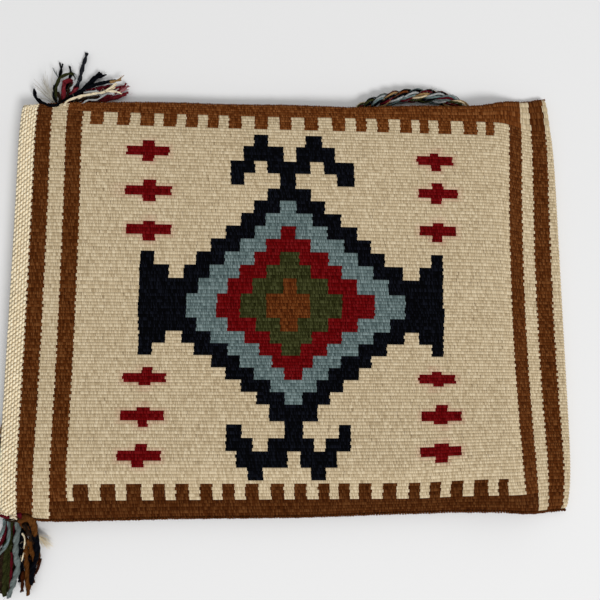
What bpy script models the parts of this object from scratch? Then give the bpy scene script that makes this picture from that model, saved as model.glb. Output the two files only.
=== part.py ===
"""A handwoven wool crossbody bag, lying flat with its rope strap tucked beneath it.

One tapestry panel is folded in half (the fold is at +X), sewn along its two sides and left
open at the mouth (-X). The strap is a thick twisted rope, bound and sewn on at the two
corners of the mouth, where its yarns run out into tassels. The bag lies on Z = 0, and the
origin is below the middle of the panel. Everything is in metres, apart from the lists of
points, which are in millimetres.
"""

import math

import bmesh
import bpy
from mathutils import Vector

MM = 0.001

# The panel, folded and sewn
LENGTH = 0.3735  # mouth to fold
WIDTH = 0.280  # side to side, before the sway of the sides
PLY = 0.0024  # thickness of the cloth
POCKET = 0.0048  # space between the two plies
SEAM_GAP = 0.0004  # between the plies where they are sewn
FOLD_GAP = 0.0008  # between the plies at the fold
SIDE_SLOPE = 0.040  # how far in from each side the pocket reaches its full height
POCKET_NARROWS = 0.118  # from here towards the fold the pocket closes
ROUNDING = 0.0012  # width of the rounded rim
ROUNDING_DROP = 0.0009
FOLD_CORNER = 0.004  # how far the fold draws back at its corners

# The strap and what holds it
ROPE_DIAMETER = 0.0105
BINDING_WIDTH = 0.0150
BINDING_LENGTH = 0.0120
BINDING_TURNS = 5
YARN_DIAMETER = 0.0024
YARN_PITCH = 0.0028  # between the slots that the yarns leave a binding by
SEAM_DIAMETER = 0.0026
CLEARANCE = 0.0003  # between pieces that touch

# How the bag lies: over the rope it is level, and past it the cloth sinks
BED_END = 0.142
TABLE_START = 0.174
UPPER_SINK = 0.0025
LOWER_SINK = 0.0050

# How far the sides lie outside WIDTH, in millimetres, at shares of half the length
UPPER_SWAY = (
    (-1.0, -3.3), (-0.75, -0.4), (-0.5, -0.2), (-0.2, -2.2), (0.02, -3.0), (0.22, -6.0),
    (0.47, -5.2), (0.7, -5.2), (0.87, 1.1), (1.0, 5.0),
)
LOWER_SWAY = (
    (-1.0, -0.4), (-0.88, 3.5), (-0.75, 5.0), (-0.4, 4.2), (0.04, 3.8), (0.28, 2.6),
    (0.5, 1.7), (0.73, 0.8), (0.88, 2.8), (1.0, 1.6),
)

# Stripes across the panel, each measured from the mouth or from the fold
HEM = 0.0110
STRIPE = 0.0108
MOUTH_STRIPE_GAP = 0.0103
FOLD_MARGIN = 0.00425
FOLD_STRIPE_GAP = 0.00845

# The toothed borders along the sides, with the middles of the teeth in millimetres
UPPER_BORDER = 0.0109
LOWER_BORDER = 0.0112
UPPER_TOOTH = 0.0102
LOWER_TOOTH = 0.0112
TOOTH_WIDTH = 0.0086
UPPER_TEETH = (
    -134, -115, -98, -82, -67, -52, -37, -19, -1, 17, 36, 51, 66, 82, 95, 110, 126, 140,
)
LOWER_TEETH = (
    -133, -115, -99, -82, -68, -53, -38, -23, -8, 8, 23, 35, 49, 65, 80, 94, 108, 123, 137,
)

# The stepped medallion, counted in columns of weft and rows of warp
CENTRE = (0.0014, -0.0091)
COLUMN = 0.0096
MIDDLE_COLUMN = 0.0115
ROW = 0.0086
MIDDLE_ROW = 0.0162
RINGS = (("navy", 10), ("blue", 8), ("red", 6), ("olive", 4), ("rust", 2))
BLOCK_ROWS = (3, 4)  # of the two blocks at either end of the medallion
HOOK_START = 0.0813
UPPER_HOOK_ROW = 0.0080
LOWER_HOOK_ROW = 0.0089
HOOK_STEPS = (1, 2, 1, 0)  # the row at which each column of a hook starts
CROSS_ARM = (0.0286, 0.0064)
CROSS_BAR = (0.0092, 0.0144)
# The middles of the small crosses: along the panel and across it, in millimetres
CROSSES = (
    (-97.5, 101.5), (-97.1, 73.6), (-96.0, 50.0), (-95.5, -49.8), (-96.0, -73.6), (-97.0, -99.4),
    (99.2, 99.4), (101.0, 75.8), (100.0, 50.0), (97.0, -49.8), (99.2, -73.6), (98.3, -97.3),
)

# The fields of colour stand a little proud of the ground
RELIEF = 0.0003
RELIEF_SLOPE = 0.0005
LONGEST_FACE = 0.024

# Hand weaving is never quite square
UPPER_STRETCH = 1.053
LOWER_STRETCH = 0.947
ROW_SLANT = -0.0185
ROW_FAN = -0.14  # further slant for each metre from the middle
FOLD_TILT = 0.016
MIDDLE_TILT = -0.026
MOUTH_TILT = -0.0075
LEFT_BOW = 0.0021
FOLD_BOW = -0.0035
FOLD_REACH = 0.0017

COLOURS = {
    "cream": (0.47, 0.37, 0.24),
    "brown": (0.083, 0.023, 0.004),
    "navy": (0.004, 0.005, 0.008),
    "blue": (0.105, 0.147, 0.144),
    "red": (0.087, 0.002, 0.002),
    "olive": (0.028, 0.030, 0.007),
    "rust": (0.089, 0.022, 0.005),
    "rope": (0.060, 0.055, 0.060),
    "binding": (0.070, 0.012, 0.012),
}
PANEL_COLOURS = ("cream", "brown", "navy", "blue", "red", "olive", "rust")

# The rope's route under the bag, in millimetres, from the lower corner to the upper one
ROPE_ROUTE = (
    (-181.2, -120.0), (-186.2, -106.0), (-188.6, -91.0), (-183.5, -74.5), (-168.0, -64.0),
    (-143.0, -65.0), (-98.0, -77.0), (-48.0, -87.0), (7.0, -90.0), (62.0, -89.0),
    (100.0, -84.0), (124.0, -68.0), (128.0, -45.0), (112.0, -28.0), (77.0, -23.0),
    (27.0, -25.0), (-28.0, -23.0), (-83.0, -13.0), (-114.0, 5.0), (-118.0, 30.0), (-98.0, 47.0),
    (-57.0, 49.0), (-3.0, 41.0), (47.0, 35.0), (89.0, 38.0), (121.0, 53.0), (135.4, 80.0),
    (137.4, 108.0), (132.6, 129.4), (119.0, 142.4), (98.0, 147.8), (77.0, 146.2), (57.5, 139.6),
    (36.0, 125.6), (4.0, 111.6), (-48.0, 106.5), (-98.0, 104.5), (-137.0, 102.0),
    (-157.0, 106.0),
)
ROPE_STEP = 0.020

# Where the bindings lie, in millimetres, and the way that each tassel runs out
LOWER_BINDING = (-179.9, -140.3)
UPPER_BINDING = (-165.9, 130.3)

# Each yarn of a tassel: its slot in the binding's end (across, up), its colour, and the points
# that it runs through from there, in millimetres
UPPER_YARNS = {
    "curl": ((-2, 1), "navy", (
        (-174.5, 141.6, 5.5), (-179.5, 143.9, 6.0), (-183.2, 147.9, 7.0), (-184.1, 153.1, 8.0))),
    "short": ((-1, 0), "navy", (
        (-170.3, 145.3, 2.0), (-171.4, 152.3, 2.0), (-170.0, 160.2, 2.0), (-168.1, 168.9, 2.0),
        (-167.8, 176.8, 2.0))),
    "middle": ((0, 0), "navy", (
        (-166.0, 146.1, 2.0), (-164.2, 153.9, 2.0), (-162.0, 161.7, 2.0), (-160.5, 168.0, 2.0),
        (-161.1, 173.6, 2.0))),
    "long": ((1, 0), "navy", (
        (-161.6, 146.8, 2.0), (-156.5, 155.4, 2.0), (-153.7, 164.0, 2.0), (-151.9, 174.3, 2.0),
        (-149.0, 183.9, 2.0))),
    "loop": ((-1, 2), "olive", (
        (-167.9, 144.3, 8.5), (-167.6, 152.0, 10.0), (-165.3, 158.8, 11.0), (-160.4, 162.5, 11.0),
        (-155.5, 163.2, 10.5), (-153.1, 158.4, 10.8), (-154.8, 152.1, 11.2))),
    "red_loop": ((0, 1), "red", (
        (-164.2, 145.1, 5.4), (-164.3, 152.8, 5.6), (-162.5, 159.3, 5.8), (-159.0, 160.1, 5.6),
        (-157.0, 155.9, 5.4), (-158.5, 150.7, 5.0))),
    "right": ((2, 0), "navy", (
        (-156.6, 146.9, 1.8), (-151.8, 154.3, 1.8), (-145.9, 161.7, 1.8), (-140.6, 167.1, 1.8),
        (-137.0, 168.3, 1.8))),
    "right_over": ((1, 2), "navy", (
        (-161.8, 143.7, 8.2), (-151.8, 150.3, 8.0), (-142.6, 155.6, 7.4), (-133.5, 158.6, 6.6),
        (-125.1, 160.7, 6.0))),
    "red_right": ((1, 1), "red", (
        (-161.9, 144.1, 5.0), (-149.7, 149.9, 4.9), (-137.1, 154.7, 4.0), (-127.9, 155.9, 3.2),
        (-120.2, 158.2, 2.5))),
    "cream": ((2, 2), "cream", (
        (-155.5, 140.4, 8.2), (-150.2, 145.8, 9.0), (-143.3, 148.5, 8.5), (-133.7, 150.8, 7.2),
        (-126.5, 154.3, 6.2))),
    "maroon": ((2, 1), "red", (
        (-156.1, 141.0, 5.1), (-150.3, 143.6, 4.6), (-141.3, 146.0, 3.4), (-130.2, 148.5, 2.0),
        (-118.2, 152.1, 2.0))),
}
LOWER_YARNS = {
    "blue": ((1, 2), "blue", (
        (-176.3, -151.6, 8.0), (-177.4, -159.8, 7.6), (-177.0, -167.9, 7.2),
        (-176.2, -175.8, 5.0), (-178.4, -184.4, 4.8), (-181.4, -194.2, 4.6))),
    "blue_left": ((-1, 2), "blue", (
        (-182.1, -152.2, 8.0), (-182.6, -159.6, 8.0), (-186.3, -165.4, 7.0),
        (-192.8, -169.9, 5.0))),
    "blue_far": ((-2, 2), "blue", (
        (-185.4, -150.3, 8.4), (-187.8, -155.4, 7.4), (-193.6, -159.4, 5.0))),
    "maroon_left": ((-2, 1), "red", (
        (-185.8, -153.5, 5.0), (-187.6, -159.8, 4.6), (-192.2, -164.8, 3.0),
        (-197.1, -167.5, 2.0))),
    "olive": ((-1, 0), "olive", (
        (-182.8, -156.1, 2.0), (-183.1, -167.9, 2.0), (-183.8, -180.3, 2.0),
        (-185.0, -192.6, 2.0))),
    "olive_far": ((-2, 0), "olive", (
        (-186.6, -156.8, 1.6), (-187.2, -168.0, 1.6), (-188.0, -179.8, 1.6),
        (-189.2, -190.8, 1.6))),
    "maroon": ((0, 1), "red", (
        (-179.8, -154.2, 4.8), (-180.5, -165.8, 3.3), (-180.8, -177.9, 2.0),
        (-181.3, -188.4, 1.6))),
    "navy_deep": ((0, 0), "navy", (
        (-179.1, -154.2, 1.8), (-176.8, -164.3, 1.8), (-175.9, -174.9, 1.6),
        (-175.2, -186.0, 1.6))),
    "cream": ((1, 1), "cream", (
        (-177.2, -152.2, 5.0), (-173.4, -157.3, 4.9), (-172.9, -164.2, 4.8),
        (-174.1, -172.3, 4.6))),
    "rust": ((1, 0), "rust", (
        (-175.4, -154.3, 1.8), (-172.9, -164.4, 1.6), (-171.8, -177.4, 1.6),
        (-170.3, -193.4, 1.6))),
    "rust_long": ((2, 0), "rust", (
        (-171.3, -152.8, 1.8), (-168.9, -161.9, 1.6), (-167.8, -175.6, 1.6),
        (-168.0, -187.3, 1.6))),
    "rust_bow": ((2, 2), "rust", (
        (-171.7, -149.8, 8.0), (-167.2, -152.0, 7.6), (-163.9, -159.2, 5.0),
        (-163.4, -167.3, 2.4), (-164.2, -176.2, 1.6))),
    "navy": ((2, 1), "navy", (
        (-170.8, -152.2, 5.0), (-167.8, -158.0, 4.8), (-165.9, -165.5, 4.8),
        (-166.0, -174.1, 4.7), (-166.7, -184.0, 4.6))),
}

FOLD_RADIUS = PLY + FOLD_GAP / 2
MOUTH = -LENGTH / 2
ARC_START = LENGTH / 2 - FOLD_RADIUS
ARC_LENGTH = math.pi * FOLD_RADIUS
BED = ROPE_DIAMETER + CLEARANCE


def ease(low, high, value):
    """0 up to low and 1 from high on, with a smooth step between."""
    t = min(1.0, max(0.0, (value - low) / (high - low)))
    return t * t * (3 - 2 * t)


def swell(middle, reach, value):
    """1 at the middle, easing to 0 at the reach on either side of it."""
    return 1 - ease(0.0, reach, abs(value - middle))


def read_line(stations, place):
    """The height at a place of the smooth line through a few stations."""
    count = len(stations)
    place = min(max(place, stations[0][0]), stations[-1][0])
    i = 0
    while i < count - 2 and place > stations[i + 1][0]:
        i += 1
    (x0, y0), (x1, y1) = stations[i], stations[i + 1]
    before, after = stations[max(i - 1, 0)], stations[min(i + 2, count - 1)]
    slope0 = (y1 - before[1]) / (x1 - before[0])
    slope1 = (after[1] - y0) / (after[0] - x0)
    span = x1 - x0
    t = (place - x0) / span
    return (
        y0 * (1 + 2 * t) * (1 - t) ** 2
        + slope0 * span * t * (1 - t) ** 2
        + y1 * t * t * (3 - 2 * t)
        + slope1 * span * t * t * (t - 1)
    )


def upper_line(u):
    return WIDTH / 2 + MM * read_line(UPPER_SWAY, 2 * u / LENGTH)


def lower_line(u):
    return -WIDTH / 2 - MM * read_line(LOWER_SWAY, 2 * u / LENGTH)


# The weave counts v from the medallion's middle, so the sides lie at these counts
UPPER_EDGE = (upper_line(0.0) - CENTRE[1]) / UPPER_STRETCH
LOWER_EDGE = (lower_line(0.0) - CENTRE[1]) / LOWER_STRETCH
UPPER_BASE = UPPER_EDGE - UPPER_BORDER
LOWER_BASE = LOWER_EDGE + LOWER_BORDER
UPPER_TIP = UPPER_BASE - UPPER_TOOTH
LOWER_TIP = LOWER_BASE + LOWER_TOOTH


def drift(u, v):
    """How far the weave has wandered off its plan in its middle and by the fold."""
    middle = swell(0.025, 0.13, u)
    x = 0.0007 * middle * ease(-0.11, -0.03, v)
    y = 0.0009 * middle * (swell(0.02, 0.07, v) - swell(-0.095, 0.045, v))
    return x, y + 0.0021 * ease(0.075, 0.14, u) * ease(0.07, 0.115, -v)


def row_height(u, v):
    """Where a row of the weave lies across the bag, away from the borders."""
    stretch = UPPER_STRETCH if v > 0 else LOWER_STRETCH
    height = CENTRE[1] + v * stretch + (ROW_SLANT + ROW_FAN * v) * (u - CENTRE[0])
    return height + drift(u, v)[1]


def lay(u, v):
    """The place on the table of a point of the weave: u from mouth to fold, v across."""
    if v > UPPER_BASE:
        t = (v - UPPER_BASE) / UPPER_BORDER
        y = (1 - t) * row_height(u, UPPER_BASE) + t * upper_line(u)
    elif v < LOWER_BASE:
        t = (LOWER_BASE - v) / LOWER_BORDER
        y = (1 - t) * row_height(u, LOWER_BASE) + t * lower_line(u)
    else:
        y = row_height(u, v)
    out = 2 * v / (UPPER_EDGE - LOWER_EDGE)
    tilt = FOLD_TILT * ease(MOUTH, LENGTH / 2, u) + MIDDLE_TILT * swell(0.0, 0.095, u)
    tilt += MOUTH_TILT * (1 - ease(MOUTH, -0.08, u))
    bow = LEFT_BOW * swell(-0.135, 0.085, u) + FOLD_BOW * swell(0.155, 0.035, u)
    corner = FOLD_CORNER * abs(out) ** 9 * ease(0.15, ARC_START, u)
    x = u + tilt * v + bow * (1 - out * out) - corner + FOLD_REACH * ease(0.10, 0.15, u)
    return x + drift(u, v)[0], y


def underside(u, v):
    """How high the lower ply's underside lies above the table."""
    level = BED * (1 - ease(BED_END, TABLE_START, u))
    along = ease(-0.165, -0.130, u)
    upper = UPPER_SINK * ease(UPPER_EDGE - 0.022, UPPER_EDGE, v) * along
    lower = LOWER_SINK * ease(-LOWER_EDGE - 0.040, -LOWER_EDGE, -v) * along
    return level - upper * (1 - ease(0.0, 0.035, u)) - lower * (1 - ease(0.100, BED_END, u))


def pocket(u, v):
    """The space between the two plies."""
    inward = min(UPPER_EDGE - v, v - LOWER_EDGE, SIDE_SLOPE)
    rise = math.sin(0.5 * math.pi * max(inward, 0.0) / SIDE_SLOPE)
    side = SEAM_GAP + (POCKET - SEAM_GAP) * rise
    return side + (FOLD_GAP - side) * ease(POCKET_NARROWS, ARC_START, u)


def fold_over(s, v, depth):
    """The place of a point of the unfolded panel: s along it, depth below its outer face."""
    if s <= ARC_START:
        x, y = lay(s, v)
        return x, y, underside(s, v) + 2 * PLY + pocket(s, v) - depth
    if s >= ARC_START + ARC_LENGTH:
        u = 2 * ARC_START + ARC_LENGTH - s
        x, y = lay(u, v)
        return x, y, underside(u, v) + depth
    x, y = lay(ARC_START, v)
    turn = (s - ARC_START) / FOLD_RADIUS
    radius = FOLD_RADIUS - depth
    return x + radius * math.sin(turn), y, FOLD_RADIUS + radius * math.cos(turn)


def evenly(low, high, longest):
    """Places from low to high, no further apart than the longest step."""
    count = max(1, math.ceil((high - low) / longest))
    return [low + (high - low) * i / count for i in range(count + 1)]


def stripes():
    """The four stripes that run across the panel, from the mouth to the fold."""
    first = MOUTH + HEM
    second = first + STRIPE + MOUTH_STRIPE_GAP
    last = LENGTH / 2 - FOLD_MARGIN - STRIPE
    third = last - FOLD_STRIPE_GAP - STRIPE
    return [(start, start + STRIPE) for start in (first, second, third, last)]


def column(k):
    """The two sides of a column of the medallion, counted out from its middle one."""
    half = MIDDLE_COLUMN / 2
    if k == 0:
        low, high = -half, half
    else:
        low, high = half + (abs(k) - 1) * COLUMN, half + abs(k) * COLUMN
        if k < 0:
            low, high = -high, -low
    return CENTRE[0] + low, CENTRE[0] + high


def rows_up(n):
    return MIDDLE_ROW / 2 + (n - 1) * ROW


def hook_row(side, n):
    step = UPPER_HOOK_ROW if side > 0 else LOWER_HOOK_ROW
    return HOOK_START + n * step


def panel_fields():
    """The rectangles of colour on the upper ply, as colour, u range and v range. A later one
    covers an earlier one."""
    whole = (LOWER_EDGE, UPPER_EDGE)
    inner = (stripes()[1][1], stripes()[2][0])
    found = [("brown", stripe, whole) for stripe in stripes()]
    found.append(("brown", inner, (UPPER_BASE, UPPER_EDGE)))
    found.append(("brown", inner, (LOWER_EDGE, LOWER_BASE)))
    for teeth, span in (
        (UPPER_TEETH, (UPPER_TIP, UPPER_BASE)),
        (LOWER_TEETH, (LOWER_BASE, LOWER_TIP)),
    ):
        for middle in teeth:
            low = middle * MM - TOOTH_WIDTH / 2
            found.append(("brown", (low, low + TOOTH_WIDTH), span))
    for colour, reach in RINGS:
        for k in range(1 - reach, reach):
            high = rows_up(reach - abs(k))
            found.append((colour, column(k), (-high, high)))
    for side in (-1, 1):
        for k, rows in zip((9, 10), BLOCK_ROWS):
            high = rows_up(rows)
            found.append(("navy", column(side * k), (-high, high)))
        found += hooks(side)
    for across, along in CROSSES:
        u, v = across * MM, along * MM
        for wide, high in (CROSS_ARM, CROSS_BAR):
            found.append(("red", (u - wide / 2, u + wide / 2), (v - high / 2, v + high / 2)))
    return found


def hooks(side):
    """The stem and the two hooks at the medallion's upper or lower end."""

    def span(first, last):
        ends = [side * hook_row(side, n) for n in (first, last)]
        return min(ends), max(ends)

    stem = sorted((side * rows_up(9), side * hook_row(side, 2)))
    found = [("navy", column(0), tuple(stem))]
    for k, start in enumerate(HOOK_STEPS, 1):
        found += [("navy", column(way * k), span(start, start + 2)) for way in (-1, 1)]
    return found


def colour_at(fields, u, v):
    colour = "cream"
    for name, across, along in fields:
        if across[0] < u < across[1] and along[0] < v < along[1]:
            colour = name
    return colour


def faces_inside(bm, across, along):
    """The faces that reach into a rectangle of the flat panel."""
    found = []
    slack = 1e-6
    for face in bm.faces:
        s = [vert.co.x for vert in face.verts]
        v = [vert.co.y for vert in face.verts]
        if max(s) < across[0] + slack or min(s) > across[1] - slack:
            continue
        if max(v) < along[0] + slack or min(v) > along[1] - slack:
            continue
        found.append(face)
    return found


def score(bm, across, along):
    """Cuts the flat panel along the sides of a rectangle."""
    for axis, places in ((1, along), (0, across)):
        for place in places:
            faces = faces_inside(bm, across, along)
            parts = {part for face in faces for part in (*face.verts, *face.edges)}
            line = Vector((0.0, 0.0, 0.0))
            line[axis] = place
            normal = Vector((0.0, 0.0, 0.0))
            normal[axis] = 1.0
            bmesh.ops.bisect_plane(
                bm, geom=[*faces, *parts], dist=1e-7, plane_co=line, plane_no=normal
            )


def ply_lines():
    """The lines across one ply, from the mouth to where the fold starts."""
    marks = [MOUTH, MOUTH + ROUNDING]
    marks += [edge for stripe in stripes() for edge in stripe]
    marks += [BED_END, (BED_END + stripes()[2][0]) / 2, TABLE_START, ARC_START]
    marks.sort()
    lines = [marks[0]]
    for low, high in zip(marks, marks[1:]):
        lines += evenly(low, high, LONGEST_FACE)[1:]
    return lines


def sheet_lines():
    """The lines of the flat panel: along it for both plies, and across it."""
    upper = ply_lines()
    arc = [ARC_START + ARC_LENGTH * i / 6 for i in range(1, 6)]
    lower = [2 * ARC_START + ARC_LENGTH - u for u in reversed(upper)]
    across = [LOWER_EDGE, LOWER_EDGE + ROUNDING, LOWER_BASE]
    across += evenly(LOWER_TIP, UPPER_TIP, LONGEST_FACE)
    across += [UPPER_BASE, UPPER_EDGE - ROUNDING, UPPER_EDGE]
    return upper + arc + lower, across


def grid(bm, along, across, height, turned):
    """A flat grid of faces, and its corners by place."""
    corner = {
        (i, j): bm.verts.new((s, v, height))
        for i, s in enumerate(along)
        for j, v in enumerate(across)
    }
    for i in range(len(along) - 1):
        for j in range(len(across) - 1):
            ring = [corner[i, j], corner[i + 1, j], corner[i + 1, j + 1], corner[i, j + 1]]
            bm.faces.new(reversed(ring) if turned else ring)
    return corner


def rim(along, across):
    """The grid places round the edge of the panel, in order."""
    last_i, last_j = len(along) - 1, len(across) - 1
    places = [(i, 0) for i in range(last_i)]
    places += [(last_i, j) for j in range(last_j)]
    places += [(i, last_j) for i in range(last_i, 0, -1)]
    return places + [(0, j) for j in range(last_j, 0, -1)]


def paint(bm, fields):
    """Gives each face of the outer side its colour, and raises the fields on the upper ply."""
    raised = {name: [] for name in PANEL_COLOURS}
    for face in bm.faces:
        middle = face.calc_center_median()
        s, v = middle.x, middle.y
        if ARC_START < s < ARC_START + ARC_LENGTH:
            name = "cream"
        elif s < ARC_START:
            name = colour_at(fields, s, v)
            if LOWER_EDGE + ROUNDING < v < UPPER_EDGE - ROUNDING:
                raised[name].append(face)
        else:
            u = 2 * ARC_START + ARC_LENGTH - s
            plain = fields[: len(stripes()) + 2]
            name = colour_at(plain, u, v)
        face.material_index = PANEL_COLOURS.index(name)
    for name in PANEL_COLOURS[1:]:
        walls = bmesh.ops.inset_region(
            bm, faces=raised[name], thickness=RELIEF_SLOPE, depth=RELIEF, use_even_offset=True
        )
        for face in walls["faces"]:
            face.material_index = PANEL_COLOURS.index(name)


def woven_panel():
    """The whole tapestry panel, scored and painted flat, then folded over."""
    along, across = sheet_lines()
    fields = panel_fields()
    bm = bmesh.new()
    outer = grid(bm, along, across, 0.0, turned=False)
    for _, u_range, v_range in fields[2 + len(stripes()) :]:
        score(bm, u_range, v_range)
    bm.faces.ensure_lookup_table()
    paint(bm, fields)
    inner = grid(bm, along, across, -PLY, turned=True)
    places = rim(along, across)
    for here, there in zip(places, places[1:] + places[:1]):
        bm.faces.new((outer[there], outer[here], inner[here], inner[there]))
    for place in places:
        outer[place].co.z = -ROUNDING_DROP
    for vert in bm.verts:
        vert.co = Vector(fold_over(vert.co.x, vert.co.y, -vert.co.z))
    mesh = bpy.data.meshes.new("woven_body")
    bm.to_mesh(mesh)
    bm.free()
    for name in PANEL_COLOURS:
        mesh.materials.append(wool(name))
    return add("woven_body", mesh)


def wool(name):
    """A matt wool of one colour."""
    found = bpy.data.materials.get(name)
    if found:
        return found
    made = bpy.data.materials.new(name)
    made.use_nodes = True
    shader = made.node_tree.nodes["Principled BSDF"]
    shader.inputs["Base Color"].default_value = (*COLOURS[name], 1.0)
    shader.inputs["Roughness"].default_value = 0.9
    return made


def add(name, data):
    made = bpy.data.objects.new(name, data)
    bpy.context.scene.collection.objects.link(made)
    return made


def smooth_run(points, step):
    """Points a step apart along the smooth curve through the given ones."""
    knots = [Vector(point) for point in points]
    knots.insert(0, 2 * knots[0] - knots[1])
    knots.append(2 * knots[-1] - knots[-2])
    fine = []
    parts = 24
    for before, start, end, after in zip(knots, knots[1:], knots[2:], knots[3:]):
        for i in range(parts):
            t = i / parts
            fine.append(
                start
                + 0.5 * t * (end - before)
                + t * t * (before - 2.5 * start + 2 * end - 0.5 * after)
                + 0.5 * t * t * t * (3 * start - 3 * end + after - before)
            )
    fine.append(knots[-2])
    lengths = [0.0]
    for a, b in zip(fine, fine[1:]):
        lengths.append(lengths[-1] + (b - a).length)
    count = max(2, round(lengths[-1] / step))
    run, i = [fine[0]], 0
    for n in range(1, count):
        target = lengths[-1] * n / count
        while lengths[i + 1] < target:
            i += 1
        share = (target - lengths[i]) / (lengths[i + 1] - lengths[i])
        run.append(fine[i].lerp(fine[i + 1], share))
    return [*run, fine[-1]]


def tube(name, points, diameter, colour, sides):
    """A round cord through the points."""
    curve = bpy.data.curves.new(name, "CURVE")
    curve.dimensions = "3D"
    curve.bevel_depth = diameter / 2
    curve.bevel_resolution = (sides - 4) // 2
    curve.use_fill_caps = True
    spline = curve.splines.new("POLY")
    spline.points.add(len(points) - 1)
    for at, point in zip(spline.points, points):
        at.co = (*point, 1.0)
    curve.materials.append(wool(colour))
    return add(name, curve)


def side_seam(name, edge_v, way):
    """The thread that joins the two plies along one side, outside their edges."""
    away = CLEARANCE + SEAM_DIAMETER / 2
    edge = [
        Vector((*lay(u, edge_v), underside(u, edge_v) + PLY + SEAM_GAP / 2))
        for u in ply_lines()
    ]
    points = []
    for i, point in enumerate(edge):
        run = edge[min(i + 1, len(edge) - 1)] - edge[max(i - 1, 0)]
        outwards = Vector((-run.y, run.x, 0.0)).normalized()
        points.append(point + way * away * outwards)
    return tube(name, points, SEAM_DIAMETER, "brown", 8)


def strap_rope():
    """The rope, which runs straight into the binding at either end."""
    height = ROPE_DIAMETER / 2
    route = [Vector((x * MM, y * MM, height)) for x, y in ROPE_ROUTE]
    for (x, y), way, place in ((LOWER_BINDING, 1, 0), (UPPER_BINDING, -1, len(route) + 1)):
        inner = y * MM + way * (BINDING_LENGTH / 2 + CLEARANCE)
        route.insert(place, Vector((x * MM, inner + way * ROPE_DIAMETER / 2, height)))
    run = smooth_run(route, ROPE_STEP)
    straight = Vector((0.0, ROPE_DIAMETER / 2, 0.0))
    run = [run[0] - straight, *run, run[-1] + straight]
    return tube("strap_rope", run, ROPE_DIAMETER, "rope", 12)


def binding(name, middle, way):
    """The thread wound round an end of the rope, flattened where the bag lies on it."""
    height = ROPE_DIAMETER - CLEARANCE
    bm = bmesh.new()
    sides, rings_each = 16, 3
    count = BINDING_TURNS * rings_each
    rings = []
    for i in range(count + 1):
        share = i / count
        groove = abs(math.sin(math.pi * BINDING_TURNS * share))
        size = 0.84 + 0.16 * groove
        y = (middle[1] * MM) + way * BINDING_LENGTH * (share - 0.5)
        ring = []
        for j in range(sides):
            turn = 2 * math.pi * j / sides
            x = middle[0] * MM + size * BINDING_WIDTH / 2 * math.cos(turn)
            z = height / 2 + size * height / 2 * math.sin(turn)
            ring.append(bm.verts.new((x, y, z)))
        rings.append(ring)
    for low, high in zip(rings, rings[1:]):
        for j in range(sides):
            k = (j + 1) % sides
            bm.faces.new((low[j], low[k], high[k], high[j]))
    bm.faces.new(rings[0])
    bm.faces.new(rings[-1])
    bmesh.ops.recalc_face_normals(bm, faces=bm.faces)
    mesh = bpy.data.meshes.new(name)
    bm.to_mesh(mesh)
    bm.free()
    mesh.materials.append(wool("binding"))
    mesh.shade_smooth()
    mesh.set_sharp_from_angle(angle=math.radians(50))
    return add(name, mesh)


def tassel(prefix, yarns, middle, way):
    """The loose yarns that run out of a binding, each from its own slot in the end."""
    face = middle[1] * MM + way * (BINDING_LENGTH / 2 + CLEARANCE)
    for name, (slot, colour, run) in yarns.items():
        x = middle[0] * MM + slot[0] * YARN_PITCH
        z = (ROPE_DIAMETER - CLEARANCE) / 2 + (slot[1] - 1) * YARN_PITCH
        points = [(x, face + way * YARN_DIAMETER, z)]
        points += [(px * MM, py * MM, pz * MM) for px, py, pz in run]
        points = [(x, face, z), *smooth_run(points, 2.5 * YARN_DIAMETER)]
        tube(f"{prefix}_yarn_{name}", points, YARN_DIAMETER, colour, 8)


def centre_on(pieces):
    """Moves everything so that the middle of these pieces comes to the origin's place."""
    bpy.context.view_layer.update()
    corners = [Vector(corner) for piece in pieces for corner in piece.bound_box]
    middle = Vector((0.0, 0.0, 0.0))
    for axis in (0, 1):
        places = [corner[axis] for corner in corners]
        middle[axis] = (min(places) + max(places)) / 2
    for made in bpy.data.objects:
        made.location = -middle


def main():
    for old in list(bpy.data.objects):
        bpy.data.objects.remove(old)
    panel = [woven_panel()]
    panel.append(side_seam("upper_side_seam", UPPER_EDGE, 1))
    panel.append(side_seam("lower_side_seam", LOWER_EDGE, -1))
    strap_rope()
    binding("upper_binding", UPPER_BINDING, 1)
    binding("lower_binding", LOWER_BINDING, -1)
    tassel("upper", UPPER_YARNS, UPPER_BINDING, 1)
    tassel("lower", LOWER_YARNS, LOWER_BINDING, -1)
    centre_on(panel)


main()
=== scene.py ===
import math
import random

import bpy
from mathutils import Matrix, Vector, noise


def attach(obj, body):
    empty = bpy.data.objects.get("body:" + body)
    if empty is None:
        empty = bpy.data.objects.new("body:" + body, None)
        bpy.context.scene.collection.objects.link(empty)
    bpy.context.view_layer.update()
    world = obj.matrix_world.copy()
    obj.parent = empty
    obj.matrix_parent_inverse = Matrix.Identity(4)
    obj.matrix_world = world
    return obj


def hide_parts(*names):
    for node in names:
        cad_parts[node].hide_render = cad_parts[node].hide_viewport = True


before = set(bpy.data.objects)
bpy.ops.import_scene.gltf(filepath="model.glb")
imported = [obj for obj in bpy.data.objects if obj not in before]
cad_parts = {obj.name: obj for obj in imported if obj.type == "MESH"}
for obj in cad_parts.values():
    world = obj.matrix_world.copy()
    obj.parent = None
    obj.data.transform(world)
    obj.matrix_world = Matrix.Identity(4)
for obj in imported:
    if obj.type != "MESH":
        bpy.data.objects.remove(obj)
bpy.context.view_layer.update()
MM = 0.001

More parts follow.
